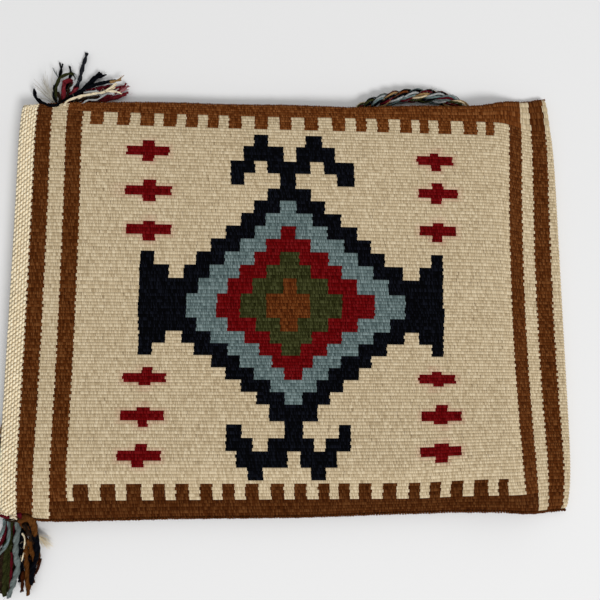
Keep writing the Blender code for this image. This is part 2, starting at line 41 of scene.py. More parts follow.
# The panel in metres, close to the CAD's values, with its sways in millimetres
LENGTH, WIDTH, PLY, POCKET = 0.3735, 0.280, 0.0024, 0.0048
SEAM_GAP, FOLD_GAP, SIDE_SLOPE, POCKET_NARROWS = 0.0004, 0.0008, 0.040, 0.118
FOLD_CORNER = 0.004
BED_END, TABLE_START, UPPER_SINK, LOWER_SINK = 0.142, 0.174, 0.0025, 0.0050
ROPE_DIAMETER, BINDING_WIDTH, BINDING_LENGTH = 0.0105, 0.0150, 0.0120
YARN_PITCH, CLEARANCE = 0.0028, 0.0003
UPPER_SWAY = (
    (-1.0, -3.3), (-0.75, -0.4), (-0.5, -0.2), (-0.2, -2.2), (0.02, -3.0), (0.22, -6.0),
    (0.47, -5.2), (0.7, -5.2), (0.87, 1.1), (1.0, 5.0),
)
LOWER_SWAY = (
    (-1.0, -0.4), (-0.88, 3.5), (-0.75, 5.0), (-0.4, 4.2), (0.04, 3.8), (0.28, 2.6),
    (0.5, 1.7), (0.73, 0.8), (0.88, 2.8), (1.0, 1.6),
)
HEM, STRIPE, MOUTH_STRIPE_GAP = 0.0110, 0.0108, 0.0103
FOLD_MARGIN, FOLD_STRIPE_GAP = 0.00425, 0.00845
STRIPE_BOWS = ((0.0, 0.0), (0.0, 0.0), (-0.0010, -0.0010), (-0.0014, -0.0024))
UPPER_BORDER, LOWER_BORDER = 0.0101, 0.0112
UPPER_TOOTH, LOWER_TOOTH = 0.0100, 0.0112
CENTRE = (0.0014, -0.0091)
UPPER_STRETCH, LOWER_STRETCH, ROW_SLANT, ROW_FAN = 1.053, 0.947, -0.0185, -0.14
FOLD_TILT, MIDDLE_TILT, LEFT_BOW, FOLD_BOW = 0.016, -0.026, 0.0021, -0.0045
MOUTH_TILT, FOLD_REACH = -0.0075, 0.0027
SHIFT = (-0.000869, 0.000208)  # brings the middle of the panel to the origin

# The teeth of the two borders: where each one starts and how wide it is, in millimetres
UPPER_TEETH = (
    (-138.6, 9.0), (-120.1, 9.0), (-104.1, 9.7), (-87.9, 9.4), (-71.9, 8.8), (-56.1, 8.2),
    (-40.9, 9.5), (-22.1, 9.5), (-4.6, 8.5), (12.4, 9.5), (31.2, 8.7), (46.9, 7.2), (60.9, 8.0),
    (76.4, 8.0), (89.9, 6.4), (102.9, 8.8), (119.7, 9.0), (134.4, 6.0),
)
LOWER_TEETH = (
    (-140.1, 10.0), (-122.1, 10.0), (-105.1, 9.7), (-87.6, 7.5), (-73.3, 8.2), (-58.3, 7.7),
    (-44.6, 7.7), (-30.3, 8.4), (-14.3, 8.5), (0.7, 8.0), (16.6, 7.5), (30.2, 7.5), (44.0, 8.7),
    (60.3, 9.4), (77.8, 7.4), (91.6, 7.1), (105.1, 7.6), (119.0, 8.7), (133.7, 6.3),
)

# The medallion on the upper and the lower half, row by row out from its middle: the edges of
# its rings from mouth to fold, navy outermost, in millimetres from the middle
RINGS = ("navy", "blue", "red", "olive", "rust")
MEDALLION = {
    1: (
        (-103, -70, -49.5, -34, -17, 12, 33.5, 55, 75.5, 101),
        (-103, -62, -42.5, -26, -5.5, 3.5, 24, 43.5, 64.5, 101),
        (-72.5, -54.5, -34.5, -16.5, 13, 33.5, 54.5, 74.5),
        (-64, -44.5, -24.5, -7.5, 5.5, 25, 44.5, 62.5),
        (-54, -34, -16.5, 13.5, 35.5, 53.5),
        (-44, -24, -6.5, 3.5, 24.5, 44.5),
        (-33.5, -16.5, 15, 34),
        (-24.5, -6.5, 4.5, 23.5),
        (-15, 14.5),
    ),
    -1: (
        (-103, -70, -50, -34.5, -17, 12, 33, 55, 75, 101.5),
        (-102.5, -63, -42.5, -24, -8, 3.5, 23.5, 43.5, 65, 101),
        (-72.5, -53.5, -31.5, -15, 12.5, 32.5, 53.5, 74.5),
        (-64.5, -42.5, -22, -7.5, 5, 22.5, 43.5, 62.5),
        (-53, -34.5, -14, 13, 31.5, 52),
        (-44, -25.5, -6, 6, 23, 43.5),
        (-34, -15, 15, 33),
        (-24, -6, 5.5, 24),
        (-16, 15.5),
    ),
}
ROW_ENDS = {1: (4, 8, 12, 16, 20, 24, 28, 32, 36), -1: (4, 8, 12, 16, 20, 24, 28, 32, 37)}

# The side blocks, the stem and the hooks: first and last rib, then the edges of each piece
NAVY_PIECES = {
    1: (
        (8, 12, (-103, -82.5), (85.5, 101.5)), (12, 16, (-102.5, -93), (93.5, 101.5)),
        (36, 45, (-6.3, 4.5)), (37, 41, (-40.5, -31), (32, 43.5)),
        (41, 45, (-40.5, -23.5), (-15, 14.5), (23.5, 43.5)),
        (45, 50, (-31.5, -3.5), (5, 31)), (50, 54, (-24, -14), (11.5, 22.5)),
    ),
    -1: (
        (8, 12, (-102, -83.5), (84, 100.5)), (12, 16, (-102, -92.5), (92.5, 100.5)),
        (37, 46, (-6.3, 5.8)), (38, 42, (-43.3, -33.3), (29.5, 37.5)),
        (42, 46, (-43.3, -26.5), (-17, 13), (20.5, 37.5)),
        (46, 51, (-37, -4.5), (3.7, 28)), (51, 55, (-30, -20), (10.5, 20.5)),
    ),
}

# The small crosses: their middle along the rib and their middle rib, how far the arms reach,
# and the bars above and below them as middle, half width and number of ribs, in millimetres
CROSSES = (
    (-97.5, 47, 14.8, (0.0, 4.2, 2), (0.0, 4.2, 2)),
    (-97.1, 34, 16.4, (1.1, 4.6, 2), (0.9, 4.6, 2)),
    (-96.0, 22, 15.8, (0.5, 4.2, 1), (0.2, 4.4, 2)),
    (-95.5, -24, 14.5, (1.8, 3.5, 2), (0.5, 4.2, 1)),
    (-96.0, -36, 14.5, (0.7, 4.6, 1), (0.6, 3.3, 2)),
    (-97.0, -48, 14.5, (1.4, 3.9, 2), (-0.6, 4.1, 2)),
    (99.2, 46, 12.2, (0.0, 3.2, 1), (0.8, 3.3, 2)),
    (101.0, 35, 13.3, (-0.4, 3.9, 2), (-1.3, 3.8, 2)),
    (100.0, 23, 12.2, (0.4, 3.7, 1), (-0.4, 3.5, 2)),
    (97.0, -24, 11.9, (0.0, 3.1, 1), (1.0, 3.6, 1)),
    (99.2, -36, 12.9, (0.3, 4.0, 2), (-0.2, 4.3, 1)),
    (98.3, -47, 13.2, (0.5, 5.0, 1), (0.5, 4.3, 2)),
)

# The rope's route under the bag, in metres, from the lower corner to the upper one
ROPE_ROUTE = (
    (-0.1812, -0.1200), (-0.1862, -0.1060), (-0.1886, -0.0910), (-0.1835, -0.0745),
    (-0.1680, -0.0640), (-0.1430, -0.0650), (-0.0980, -0.0770), (-0.0480, -0.0870),
    (0.0070, -0.0900), (0.0620, -0.0890), (0.1000, -0.0840), (0.1240, -0.0680),
    (0.1280, -0.0450), (0.1120, -0.0280), (0.0770, -0.0230), (0.0270, -0.0250),
    (-0.0280, -0.0230), (-0.0830, -0.0130), (-0.1140, 0.0050), (-0.1180, 0.0300),
    (-0.0980, 0.0470), (-0.0570, 0.0490), (-0.0030, 0.0410), (0.0470, 0.0350), (0.0890, 0.0380),
    (0.1210, 0.0530), (0.1354, 0.0800), (0.1374, 0.1080), (0.1326, 0.1294), (0.1190, 0.1424),
    (0.0980, 0.1478), (0.0770, 0.1462), (0.0575, 0.1396), (0.0360, 0.1256), (0.0040, 0.1116),
    (-0.0480, 0.1065), (-0.0980, 0.1045), (-0.1370, 0.1020), (-0.1570, 0.1060),
)
LOWER_BINDING = (-0.1799, -0.1403)
UPPER_BINDING = (-0.1659, 0.1303)

# The yarns of each tassel that leave the end of its binding: place there in yarns (across and
# up, of which 1 is the middle), colours of the two plies, thickness and points in millimetres
UPPER_YARNS = {
    "curl": ((-2, 1), ("navy", "navy"), 3.0, (
        (-174.5, 141.6, 5.5), (-179.5, 143.9, 6.0), (-183.2, 147.9, 7.0), (-184.1, 153.1, 8.0))),
    "short": ((-1, 0), ("navy", "navy"), 2.5, (
        (-170.3, 145.3, 2.0), (-171.4, 152.3, 2.0), (-170.0, 160.2, 2.0), (-168.1, 168.9, 2.0),
        (-167.8, 176.8, 2.0))),
    "middle": ((0, 0), ("navy", "navy"), 2.5, (
        (-166.0, 146.1, 2.0), (-164.2, 153.9, 2.0), (-162.0, 161.7, 2.0), (-160.5, 168.0, 2.0),
        (-161.1, 173.6, 2.0))),
    "long": ((1, 0), ("ink", "ink"), 3.0, (
        (-161.6, 146.8, 2.0), (-156.5, 155.4, 2.0), (-153.7, 164.0, 2.0), (-151.9, 174.3, 2.0),
        (-149.0, 183.9, 2.0))),
    "loop": ((-1, 2), ("moss", "moss"), 2.3, (
        (-167.9, 144.3, 8.5), (-167.6, 152.0, 10.0), (-165.3, 158.8, 11.0), (-160.4, 162.5, 11.0),
        (-155.5, 163.2, 10.5), (-153.1, 158.4, 10.8), (-154.8, 152.1, 11.2))),
    "red_loop": ((0, 1), ("crimson", "crimson"), 3.0, (
        (-164.2, 145.1, 5.4), (-164.3, 152.8, 5.6), (-162.5, 159.3, 5.8), (-159.0, 160.1, 5.6),
        (-157.0, 155.9, 5.4), (-158.5, 150.7, 5.0))),
    "right": ((2, 0), ("navy", "navy"), 3.2, (
        (-156.6, 146.9, 1.8), (-151.8, 154.3, 1.8), (-145.9, 161.7, 1.8), (-140.6, 167.1, 1.8),
        (-137.0, 168.3, 1.8))),
    "right_over": ((1, 2), ("navy", "navy"), 3.0, (
        (-161.8, 143.7, 8.2), (-151.8, 150.3, 8.0), (-142.6, 155.6, 7.4), (-133.5, 158.6, 6.6),
        (-125.1, 160.7, 6.0))),
    "red_right": ((1, 1), ("crimson", "crimson"), 2.6, (
        (-161.9, 144.1, 5.0), (-149.7, 149.9, 4.9), (-137.1, 154.7, 4.0), (-127.9, 155.9, 3.2),
        (-120.2, 158.2, 2.5))),
    "cream": ((2, 2), ("cotton", "cotton"), 1.9, (
        (-155.5, 140.4, 8.2), (-150.2, 145.8, 9.0), (-143.3, 148.5, 8.5), (-133.7, 150.8, 7.2),
        (-126.5, 154.3, 6.2))),
    "maroon": ((2, 1), ("crimson", "crimson"), 3.4, (
        (-156.1, 141.0, 5.1), (-150.3, 143.6, 4.6), (-141.3, 146.0, 3.4), (-130.2, 148.5, 2.0),
        (-118.2, 152.1, 2.0))),
}
LOWER_YARNS = {
    "blue": ((1, 2), ("pale_blue", "pale_blue"), 3.8, (
        (-176.3, -151.6, 8.0), (-177.4, -159.8, 7.6), (-177.0, -167.9, 7.2),
        (-176.2, -175.8, 5.0), (-178.4, -184.4, 4.8), (-181.4, -194.2, 4.6))),
    "blue_left": ((-1, 2), ("pale_blue", "blue"), 2.5, (
        (-182.1, -152.2, 8.0), (-182.6, -159.6, 8.0), (-186.3, -165.4, 7.0),
        (-192.8, -169.9, 5.0))),
    "blue_far": ((-2, 2), ("pale_blue", "blue"), 2.5, (
        (-185.4, -150.3, 8.4), (-187.8, -155.4, 7.4), (-193.6, -159.4, 5.0))),
    "maroon_left": ((-2, 1), ("maroon", "maroon"), 2.8, (
        (-185.8, -153.5, 5.0), (-187.6, -159.8, 4.6), (-192.2, -164.8, 3.0),
        (-197.1, -167.5, 2.0))),
    "olive": ((-1, 0), ("moss", "moss"), 3.4, (
        (-182.8, -156.1, 2.0), (-183.1, -167.9, 2.0), (-183.8, -180.3, 2.0),
        (-185.0, -192.6, 2.0))),
    "olive_far": ((-2, 0), ("moss", "dark"), 3.6, (
        (-186.6, -156.8, 1.6), (-187.2, -168.0, 1.6), (-188.0, -179.8, 1.6),
        (-189.2, -190.8, 1.6))),
    "maroon": ((0, 1), ("dark", "maroon"), 2.4, (
        (-179.8, -154.2, 4.8), (-180.5, -165.8, 3.3), (-180.8, -177.9, 2.0),
        (-181.3, -188.4, 1.6))),
    "navy_deep": ((0, 0), ("navy", "navy"), 3.4, (
        (-179.1, -154.2, 1.8), (-176.8, -164.3, 1.8), (-175.9, -174.9, 1.6),
        (-175.2, -186.0, 1.6))),
    "cream": ((1, 1), ("cotton", "cotton"), 1.3, (
        (-177.2, -152.2, 5.0), (-173.4, -157.3, 4.9), (-172.9, -164.2, 4.8),
        (-174.1, -172.3, 4.6))),
    "rust": ((1, 0), ("bronze", "bronze"), 3.4, (
        (-175.4, -154.3, 1.8), (-172.9, -164.4, 1.6), (-171.8, -177.4, 1.6),
        (-170.3, -193.4, 1.6))),
    "rust_long": ((2, 0), ("bronze", "umber"), 3.4, (
        (-171.3, -152.8, 1.8), (-168.9, -161.9, 1.6), (-167.8, -175.6, 1.6),
        (-168.0, -187.3, 1.6))),
    "rust_bow": ((2, 2), ("bronze", "bronze"), 3.0, (
        (-171.7, -149.8, 8.0), (-167.9, -152.0, 7.6), (-165.6, -159.2, 5.0),
        (-165.0, -167.3, 2.4), (-164.8, -176.2, 1.6))),
    "navy": ((2, 1), ("navy", "navy"), 3.0, (
        (-170.8, -152.2, 5.0), (-167.8, -158.0, 4.8), (-165.9, -165.5, 4.8),
        (-166.0, -174.1, 4.7), (-166.7, -184.0, 4.6))),
}

# More loose yarns over and under those: colour, thickness and points in millimetres
UPPER_LOOSE = (
    ("navy", 2.8, ((-160.6, 139.3, 13), (-163.1, 136.2, 17), (-168, 135.9, 17),
        (-174, 138.8, 14), (-180, 144, 9))),
    ("navy", 1.9, ((-166.6, 141.4, 9), (-168.5, 145.1, 10), (-168.9, 149.4, 10.5),
        (-168, 155.2, 10.5))),
    ("grey", 1.9, ((-153.2, 161.9, 12.6), (-151.9, 157.9, 12.8), (-154, 153.9, 12.4),
        (-156.9, 150.4, 11))),
    ("crimson", 3.6, ((-162.4, 143.2, 6), (-162.9, 151.2, 7), (-163.3, 158.2, 7))),
    ("crimson", 2.8, ((-163.8, 158.6, 7), (-160.6, 160.6, 7.4), (-157.3, 159.3, 7))),
    ("crimson", 3.4, ((-160.1, 143, 6.5), (-156.9, 148.7, 7.4), (-153.4, 155.1, 7))),
    ("dark", 2.2, ((-159.7, 143.6, 8.4), (-159.1, 151, 8.8), (-157.7, 156.8, 8.8))),
    ("dark", 2.8, ((-164.9, 142.4, 7), (-165.5, 146.3, 7.6), (-167, 150, 8))),
    ("navy", 3.8, ((-158.2, 145, 7), (-152.4, 149.4, 7.4), (-146.5, 153.6, 7.4))),
    ("navy", 3.2, ((-150.4, 152.7, 5.6), (-145.7, 158, 5), (-142, 163, 4.4), (-138.1, 167.1, 4))),
    ("navy", 2.5, ((-145, 158.4, 5), (-141, 162.1, 5.4), (-137.6, 164.3, 5),
        (-133.8, 165.8, 4.6))),
    ("ochre", 2.1, ((-129.8, 158.6, 7), (-126.2, 159.5, 6.8), (-122.3, 161.3, 6.6))),
    ("maroon", 2.6, ((-148.6, 152.2, 6.4), (-139.3, 154.7, 5.4), (-132.5, 156.6, 5),
        (-129, 157.8, 4.8))),
    ("grey", 2.0, ((-147.9, 149.9, 8), (-142.2, 150.8, 8), (-138.4, 151.7, 7.6))),
    ("cotton", 1.9, ((-157.9, 135.7, 17), (-156.9, 140.7, 14), (-152.9, 144.2, 11.6),
        (-147.3, 146.6, 10.8), (-142.2, 147.9, 9.6))),
    ("cotton", 1.9, ((-132.6, 150.6, 8.4), (-127.7, 154.9, 7.6), (-124.7, 157.3, 7.2))),
    ("cotton", 2.0, ((-132.3, 150.8, 8.6), (-126.6, 151, 8), (-121.4, 149.6, 7.6))),
    ("grey", 1.3, ((-146.7, 138.4, 14), (-143.3, 142.5, 11.6), (-137.8, 143.5, 10),
        (-133.8, 147.1, 8.8), (-130.9, 149.6, 8.4))),
    ("dark", 2.6, ((-155.1, 142.2, 9), (-148, 145, 8.6), (-141.2, 146.2, 7.6),
        (-136.4, 148.7, 6.8))),
    ("maroon", 2.6, ((-145.3, 144.4, 6.6), (-134.7, 147.6, 6), (-128.4, 149.8, 5.6))),
    ("crimson", 2.6, ((-126.8, 151.3, 5), (-122.5, 153.7, 4.8), (-117.6, 158.1, 4.4))),
    # A pale pink yarn laid along the red one as a painted highlight.
    ("pink", 1.5, ((-123.2, 150.8, 6), (-120.2, 152.9, 5.8), (-116.5, 156.2, 5.4))),
)
LOWER_LOOSE = (
    ("maroon", 3.8, ((-186.4, -141.8, 12), (-182.8, -142.3, 13.4), (-179.2, -143.1, 13.4))),
    ("cotton", 2.6, ((-178, -143, 15), (-175.2, -142, 16), (-173.3, -143.2, 15))),
    ("maroon", 3.2, ((-172.4, -140.3, 17), (-171.6, -142.9, 16), (-172.5, -146.3, 13))),
    ("dark", 3.4, ((-183.2, -144.5, 11), (-178.8, -145, 12), (-175.4, -145.8, 11))),
    ("bronze", 4.4, ((-172.4, -145.5, 14), (-168.1, -142.8, 17), (-165, -144.4, 16),
        (-164.4, -149.3, 12), (-165.2, -155.1, 8))),
    ("bronze", 3.4, ((-171.4, -144.9, 12), (-167, -144.6, 14), (-165.9, -148.6, 11),
        (-166.3, -153.6, 8))),
    ("dark", 3.6, ((-172.7, -148.3, 8), (-169.9, -151.7, 8), (-168.6, -156.4, 6.6),
        (-168.5, -161.1, 5))),
    ("navy", 3.2, ((-168.5, -147.7, 9.4), (-167, -152.2, 8.4), (-166.2, -157.5, 7))),
    ("navy", 4.0, ((-175.7, -153.1, 4.4), (-176.2, -159.6, 3.2), (-176.4, -165.4, 2.4),
        (-176.3, -171, 2.2))),
    ("navy", 2.8, ((-174.7, -154.5, 3.4), (-174.9, -163.6, 2.2), (-175.4, -170.5, 1.8),
        (-175.3, -176.7, 1.8), (-175.1, -184.7, 1.8))),
    ("moss", 4.2, ((-182.6, -147, 6), (-182.6, -156.4, 3.2), (-182.1, -166.5, 2.6),
        (-182.1, -179, 2.4), (-181.9, -191.2, 2.4))),
    ("moss", 4.0, ((-184.6, -160, 4), (-185.6, -170.9, 2.4), (-185.5, -182.6, 2.4),
        (-185.2, -193.7, 2.4))),
    ("dark", 3.8, ((-187.6, -164.3, 4), (-188.1, -177.1, 2.2), (-187.6, -191.9, 2.2))),
    ("dark", 3.0, ((-180.7, -149.4, 4), (-181.3, -163, 2), (-180.7, -176, 2),
        (-180.4, -188.9, 2))),
    ("maroon", 1.9, ((-180.9, -166.6, 5), (-180.5, -177.7, 4.8), (-180.5, -188.7, 4.6))),
    ("bronze", 3.6, ((-172.6, -162.5, 4), (-171.8, -171.4, 3.4), (-170.4, -179.4, 3.4),
        (-169.6, -186.7, 3.4), (-169.1, -193.5, 3.4))),
    ("umber", 2.8, ((-173.8, -178.8, 3.2), (-173.7, -186.2, 3), (-173.7, -191.7, 3))),
    ("bronze", 3.4, ((-170.1, -158.3, 6), (-167.9, -165.3, 5.6), (-166.6, -169.7, 5),
        (-166.2, -173.6, 4.4))),
    ("umber", 2.3, ((-163.4, -171.4, 2.4), (-163.9, -175.6, 2.4), (-165.3, -180, 2.4))),
    ("navy", 3.6, ((-165, -153, 8), (-164.4, -159.4, 7), (-163.9, -165.2, 6), (-165, -171.3, 5),
        (-166.8, -177, 4.6), (-167.3, -182.7, 4.2), (-167.6, -186.2, 4))),
    ("navy", 2.8, ((-170.7, -169.6, 3), (-168.5, -175.8, 3), (-167.6, -182, 3))),
)

# Frayed ends: colour, number of fibres, how far they spread, and points
UPPER_WISPS = (
    ("fleece", 30, 6.5, ((-168.7, 141.3, 9), (-172.3, 146.1, 9.6), (-175.6, 151.3, 10),
        (-178.8, 155.4, 10))),
    ("fleece", 20, 5.0, ((-168, 141.8, 9), (-170.6, 148.2, 10), (-173, 154.6, 11),
        (-173.8, 160.4, 11.6))),
    ("pale_blue", 7, 0.7, ((-167, 161.8, 9), (-169, 165.2, 9), (-171, 169.9, 9))),
    ("ochre", 6, 1.2, ((-125.5, 159.6, 7), (-122.4, 161.5, 6.8), (-119.9, 164, 6.6))),
    # These pink fibres are a painted highlight on the red yarn.
    ("pink", 10, 1.8, ((-122.6, 152.3, 6), (-118.4, 154.5, 5.6), (-115, 155.5, 5))),
)
LOWER_WISPS = (
    ("cotton", 34, 3.4, ((-165.1, -156.2, 5), (-162.1, -159.3, 3.4), (-157.3, -163.8, 1.8))),
)

# Each colour of wool: its middle tone, its lighter and darker fibres
WOOL = {
    "cream": ((0.57, 0.45, 0.282), (0.82, 0.69, 0.48), (0.36, 0.265, 0.15)),
    "brown": ((0.090, 0.0235, 0.0040), (0.19, 0.070, 0.020), (0.040, 0.0085, 0.0010)),
    # The two border browns are the stripes' brown made 1.38 times lighter on the upper side and
    # 0.77 times darker on the lower side: painted light and painted shade.
    "brown_upper": ((0.124, 0.0325, 0.0055), (0.26, 0.097, 0.028), (0.055, 0.0117, 0.0014)),
    "brown_lower": ((0.069, 0.0181, 0.0031), (0.146, 0.054, 0.0154), (0.031, 0.0065, 0.0008)),
    "navy": ((0.0012, 0.0013, 0.0022), (0.0075, 0.0088, 0.015), (0.0005, 0.0005, 0.0008)),
    "ink": ((0.0105, 0.0110, 0.0140), (0.030, 0.032, 0.040), (0.004, 0.004, 0.006)),
    "blue": ((0.119, 0.167, 0.165), (0.24, 0.31, 0.31), (0.050, 0.075, 0.078)),
    "red": ((0.118, 0.0011, 0.0018), (0.19, 0.0085, 0.0100), (0.058, 0.0006, 0.0009)),
    "olive": ((0.029, 0.031, 0.0082), (0.072, 0.077, 0.027), (0.011, 0.011, 0.0022)),
    "rust": ((0.102, 0.0240, 0.0044), (0.20, 0.062, 0.015), (0.045, 0.0090, 0.0015)),
    "crimson": ((0.150, 0.010, 0.016), (0.26, 0.060, 0.070), (0.060, 0.002, 0.004)),
    "moss": ((0.020, 0.022, 0.0058), (0.052, 0.056, 0.020), (0.008, 0.008, 0.0016)),
    "bronze": ((0.074, 0.0245, 0.0046), (0.150, 0.060, 0.016), (0.032, 0.0095, 0.0016)),
    "umber": ((0.030, 0.0060, 0.0012), (0.075, 0.021, 0.005), (0.012, 0.0025, 0.0005)),
    "fleece": ((0.50, 0.47, 0.40), (0.75, 0.72, 0.65), (0.28, 0.26, 0.22)),
    "cotton": ((0.78, 0.66, 0.455), (1.0, 0.94, 0.76), (0.47, 0.38, 0.23)),
    # The hem's warps are the cotton made darker: their own cotton colour with painted shade from
    # the floats that lie over them.
    "warp": ((0.60, 0.50, 0.34), (0.74, 0.63, 0.45), (0.44, 0.36, 0.23)),
    "maroon": ((0.070, 0.0030, 0.0070), (0.14, 0.016, 0.024), (0.029, 0.0014, 0.0030)),
    "pale_blue": ((0.098, 0.120, 0.115), (0.20, 0.23, 0.22), (0.045, 0.056, 0.055)),
    # A pale pink that stands for the highlight on red wool: painted highlight.
    "pink": ((0.30, 0.10, 0.11), (0.50, 0.27, 0.28), (0.16, 0.035, 0.045)),
    "dark": ((0.016, 0.0085, 0.0050), (0.045, 0.024, 0.013), (0.005, 0.003, 0.002)),
    "grey": ((0.33, 0.34, 0.34), (0.60, 0.61, 0.60), (0.14, 0.15, 0.16)),
    "ochre": ((0.27, 0.155, 0.060), (0.50, 0.36, 0.18), (0.10, 0.05, 0.016)),
}
WOOL["cotton_pale"] = [[min(1.0, 1.12 * part) for part in tone] for tone in WOOL["cotton"]]

FOLD_RADIUS = PLY + FOLD_GAP / 2
MOUTH = -LENGTH / 2
ARC_START = LENGTH / 2 - FOLD_RADIUS
ARC_LENGTH = math.pi * FOLD_RADIUS
MIRROR = 2 * ARC_START + ARC_LENGTH  # what s on the face and s of the place below it add up to
BED = ROPE_DIAMETER + CLEARANCE


def ease(low, high, value):
    t = min(1.0, max(0.0, (value - low) / (high - low)))
    return t * t * (3 - 2 * t)


def swell(middle, reach, value):
    return 1 - ease(0.0, reach, abs(value - middle))


def read_line(stations, place):
    """The height at a place of the smooth line through a few stations."""
    place = min(max(place, stations[0][0]), stations[-1][0])
    i = 0
    while i < len(stations) - 2 and place > stations[i + 1][0]:
        i += 1
    (x0, y0), (x1, y1) = stations[i], stations[i + 1]
    before, after = stations[max(i - 1, 0)], stations[min(i + 2, len(stations) - 1)]
    slope0 = (y1 - before[1]) / (x1 - before[0])
    slope1 = (after[1] - y0) / (after[0] - x0)
    span = x1 - x0
    t = (place - x0) / span
    return (
        y0 * (1 + 2 * t) * (1 - t) ** 2
        + slope0 * span * t * (1 - t) ** 2
        + y1 * t * t * (3 - 2 * t)
        + slope1 * span * t * t * (t - 1)
    )


def upper_line(u):
    return WIDTH / 2 + MM * read_line(UPPER_SWAY, 2 * u / LENGTH)


def lower_line(u):
    return -WIDTH / 2 - MM * read_line(LOWER_SWAY, 2 * u / LENGTH)


UPPER_EDGE = (upper_line(0.0) - CENTRE[1]) / UPPER_STRETCH
LOWER_EDGE = (lower_line(0.0) - CENTRE[1]) / LOWER_STRETCH
UPPER_BASE, LOWER_BASE = UPPER_EDGE - UPPER_BORDER, LOWER_EDGE + LOWER_BORDER
UPPER_TIP, LOWER_TIP = UPPER_BASE - UPPER_TOOTH, LOWER_BASE + LOWER_TOOTH


def drift(u, v):
    """How far the weave has wandered off its plan in its middle and by the fold."""
    middle = swell(0.025, 0.13, u)
    x = 0.0007 * middle * ease(-0.11, -0.03, v)
    y = 0.0009 * middle * (swell(0.02, 0.07, v) - swell(-0.095, 0.045, v))
    return x, y + 0.0021 * ease(0.075, 0.14, u) * ease(0.07, 0.115, -v)


def row_height(u, v):
    stretch = UPPER_STRETCH if v > 0 else LOWER_STRETCH
    height = CENTRE[1] + v * stretch + (ROW_SLANT + ROW_FAN * v) * (u - CENTRE[0])
    return height + drift(u, v)[1]


def lay(u, v):
    """The place on the table of a point of the weave: u from mouth to fold, v across."""
    if v > UPPER_BASE:
        t = (v - UPPER_BASE) / UPPER_BORDER
        y = (1 - t) * row_height(u, UPPER_BASE) + t * upper_line(u)
    elif v < LOWER_BASE:
        t = (LOWER_BASE - v) / LOWER_BORDER
        y = (1 - t) * row_height(u, LOWER_BASE) + t * lower_line(u)
    else:
        y = row_height(u, v)
    out = 2 * v / (UPPER_EDGE - LOWER_EDGE)
    tilt = FOLD_TILT * ease(MOUTH, LENGTH / 2, u) + MIDDLE_TILT * swell(0.0, 0.095, u)
    tilt += MOUTH_TILT * (1 - ease(MOUTH, -0.08, u))
    bow = LEFT_BOW * swell(-0.135, 0.085, u) + FOLD_BOW * swell(0.155, 0.035, u)
    corner = FOLD_CORNER * abs(out) ** 9 * ease(0.15, ARC_START, u)
    x = u + tilt * v + bow * (1 - out * out) - corner + FOLD_REACH * ease(0.10, 0.15, u)
    x += drift(u, v)[0]
    return x + SHIFT[0], y + SHIFT[1]


def underside(u, v):
    level = BED * (1 - ease(BED_END, TABLE_START, u))
    along = ease(-0.165, -0.130, u)
    upper = UPPER_SINK * ease(UPPER_EDGE - 0.022, UPPER_EDGE, v) * along
    lower = LOWER_SINK * ease(-LOWER_EDGE - 0.040, -LOWER_EDGE, -v) * along
    return level - upper * (1 - ease(0.0, 0.035, u)) - lower * (1 - ease(0.100, BED_END, u))


def pocket(u, v):
    inward = min(UPPER_EDGE - v, v - LOWER_EDGE, SIDE_SLOPE)
    rise = math.sin(0.5 * math.pi * max(inward, 0.0) / SIDE_SLOPE)
    side = SEAM_GAP + (POCKET - SEAM_GAP) * rise
    return side + (FOLD_GAP - side) * ease(POCKET_NARROWS, ARC_START, u)


def ripple(u, v):
    """The slight unevenness of cloth that has been carried about."""
    calm = ease(0.0, 0.02, min(UPPER_EDGE - v, v - LOWER_EDGE)) * (1 - ease(0.14, 0.18, u))
    return 0.0007 * calm * noise.noise(Vector((u * 13, v * 13, 4.0)))


def fold_over(s, v, depth):
    """The place of a point of the panel: s along it from the mouth, depth below its face."""
    if s <= ARC_START:
        x, y = lay(s, v)
        top = underside(s, v) + 2 * PLY + pocket(s, v) + ripple(s, v)
        return Vector((x, y, top - depth))
    if s >= ARC_START + ARC_LENGTH:
        u = MIRROR - s
        x, y = lay(u, v)
        return Vector((x, y, max(0.0, underside(u, v) + depth)))
    x, y = lay(ARC_START, v)
    turn = (s - ARC_START) / FOLD_RADIUS
    radius = FOLD_RADIUS - depth
    return Vector((x + radius * math.sin(turn), y, FOLD_RADIUS + radius * math.cos(turn)))


# How far out from the middle each run of even ribs ends, and how many ribs it has
UPPER_RUNS = (
    (0.0078, 4), (0.0176, 4), (0.0694, 24), (0.1147, 22), (UPPER_TIP, 2), (UPPER_BASE, 5),
    (UPPER_EDGE, 5),
)
LOWER_RUNS = (
    (0.0082, 4), (0.0176, 4), (0.0672, 24), (-LOWER_TIP, 24), (-LOWER_BASE, 5), (-LOWER_EDGE, 5),
)


def rib_edges():
    """Where one rib of the weave ends and the next starts, from the lower side to the upper."""
    sides = []
    for runs in (UPPER_RUNS, LOWER_RUNS):
        places = [0.0]
        for end, count in runs:
            start = places[-1]
            places += [start + (end - start) * n / count for n in range(1, count + 1)]
        sides.append(places)
    return [-place for place in reversed(sides[1])] + sides[0][1:], len(sides[1]) - 1


EDGES, MIDDLE_RIB = rib_edges()
RIBS = len(EDGES) - 1
TEETH_FROM, BORDER_FROM = 56, 61


def count_out(rib):
    """A rib's side of the middle, and its number counted out from there."""
    return (1, rib - MIDDLE_RIB) if rib >= MIDDLE_RIB else (-1, MIDDLE_RIB - 1 - rib)


def stripes():
    first = MOUTH + HEM
    second = first + STRIPE + MOUTH_STRIPE_GAP
    last = LENGTH / 2 - FOLD_MARGIN - STRIPE
    third = last - FOLD_STRIPE_GAP - STRIPE
    return [(start, start + STRIPE) for start in (first, second, third, last)]


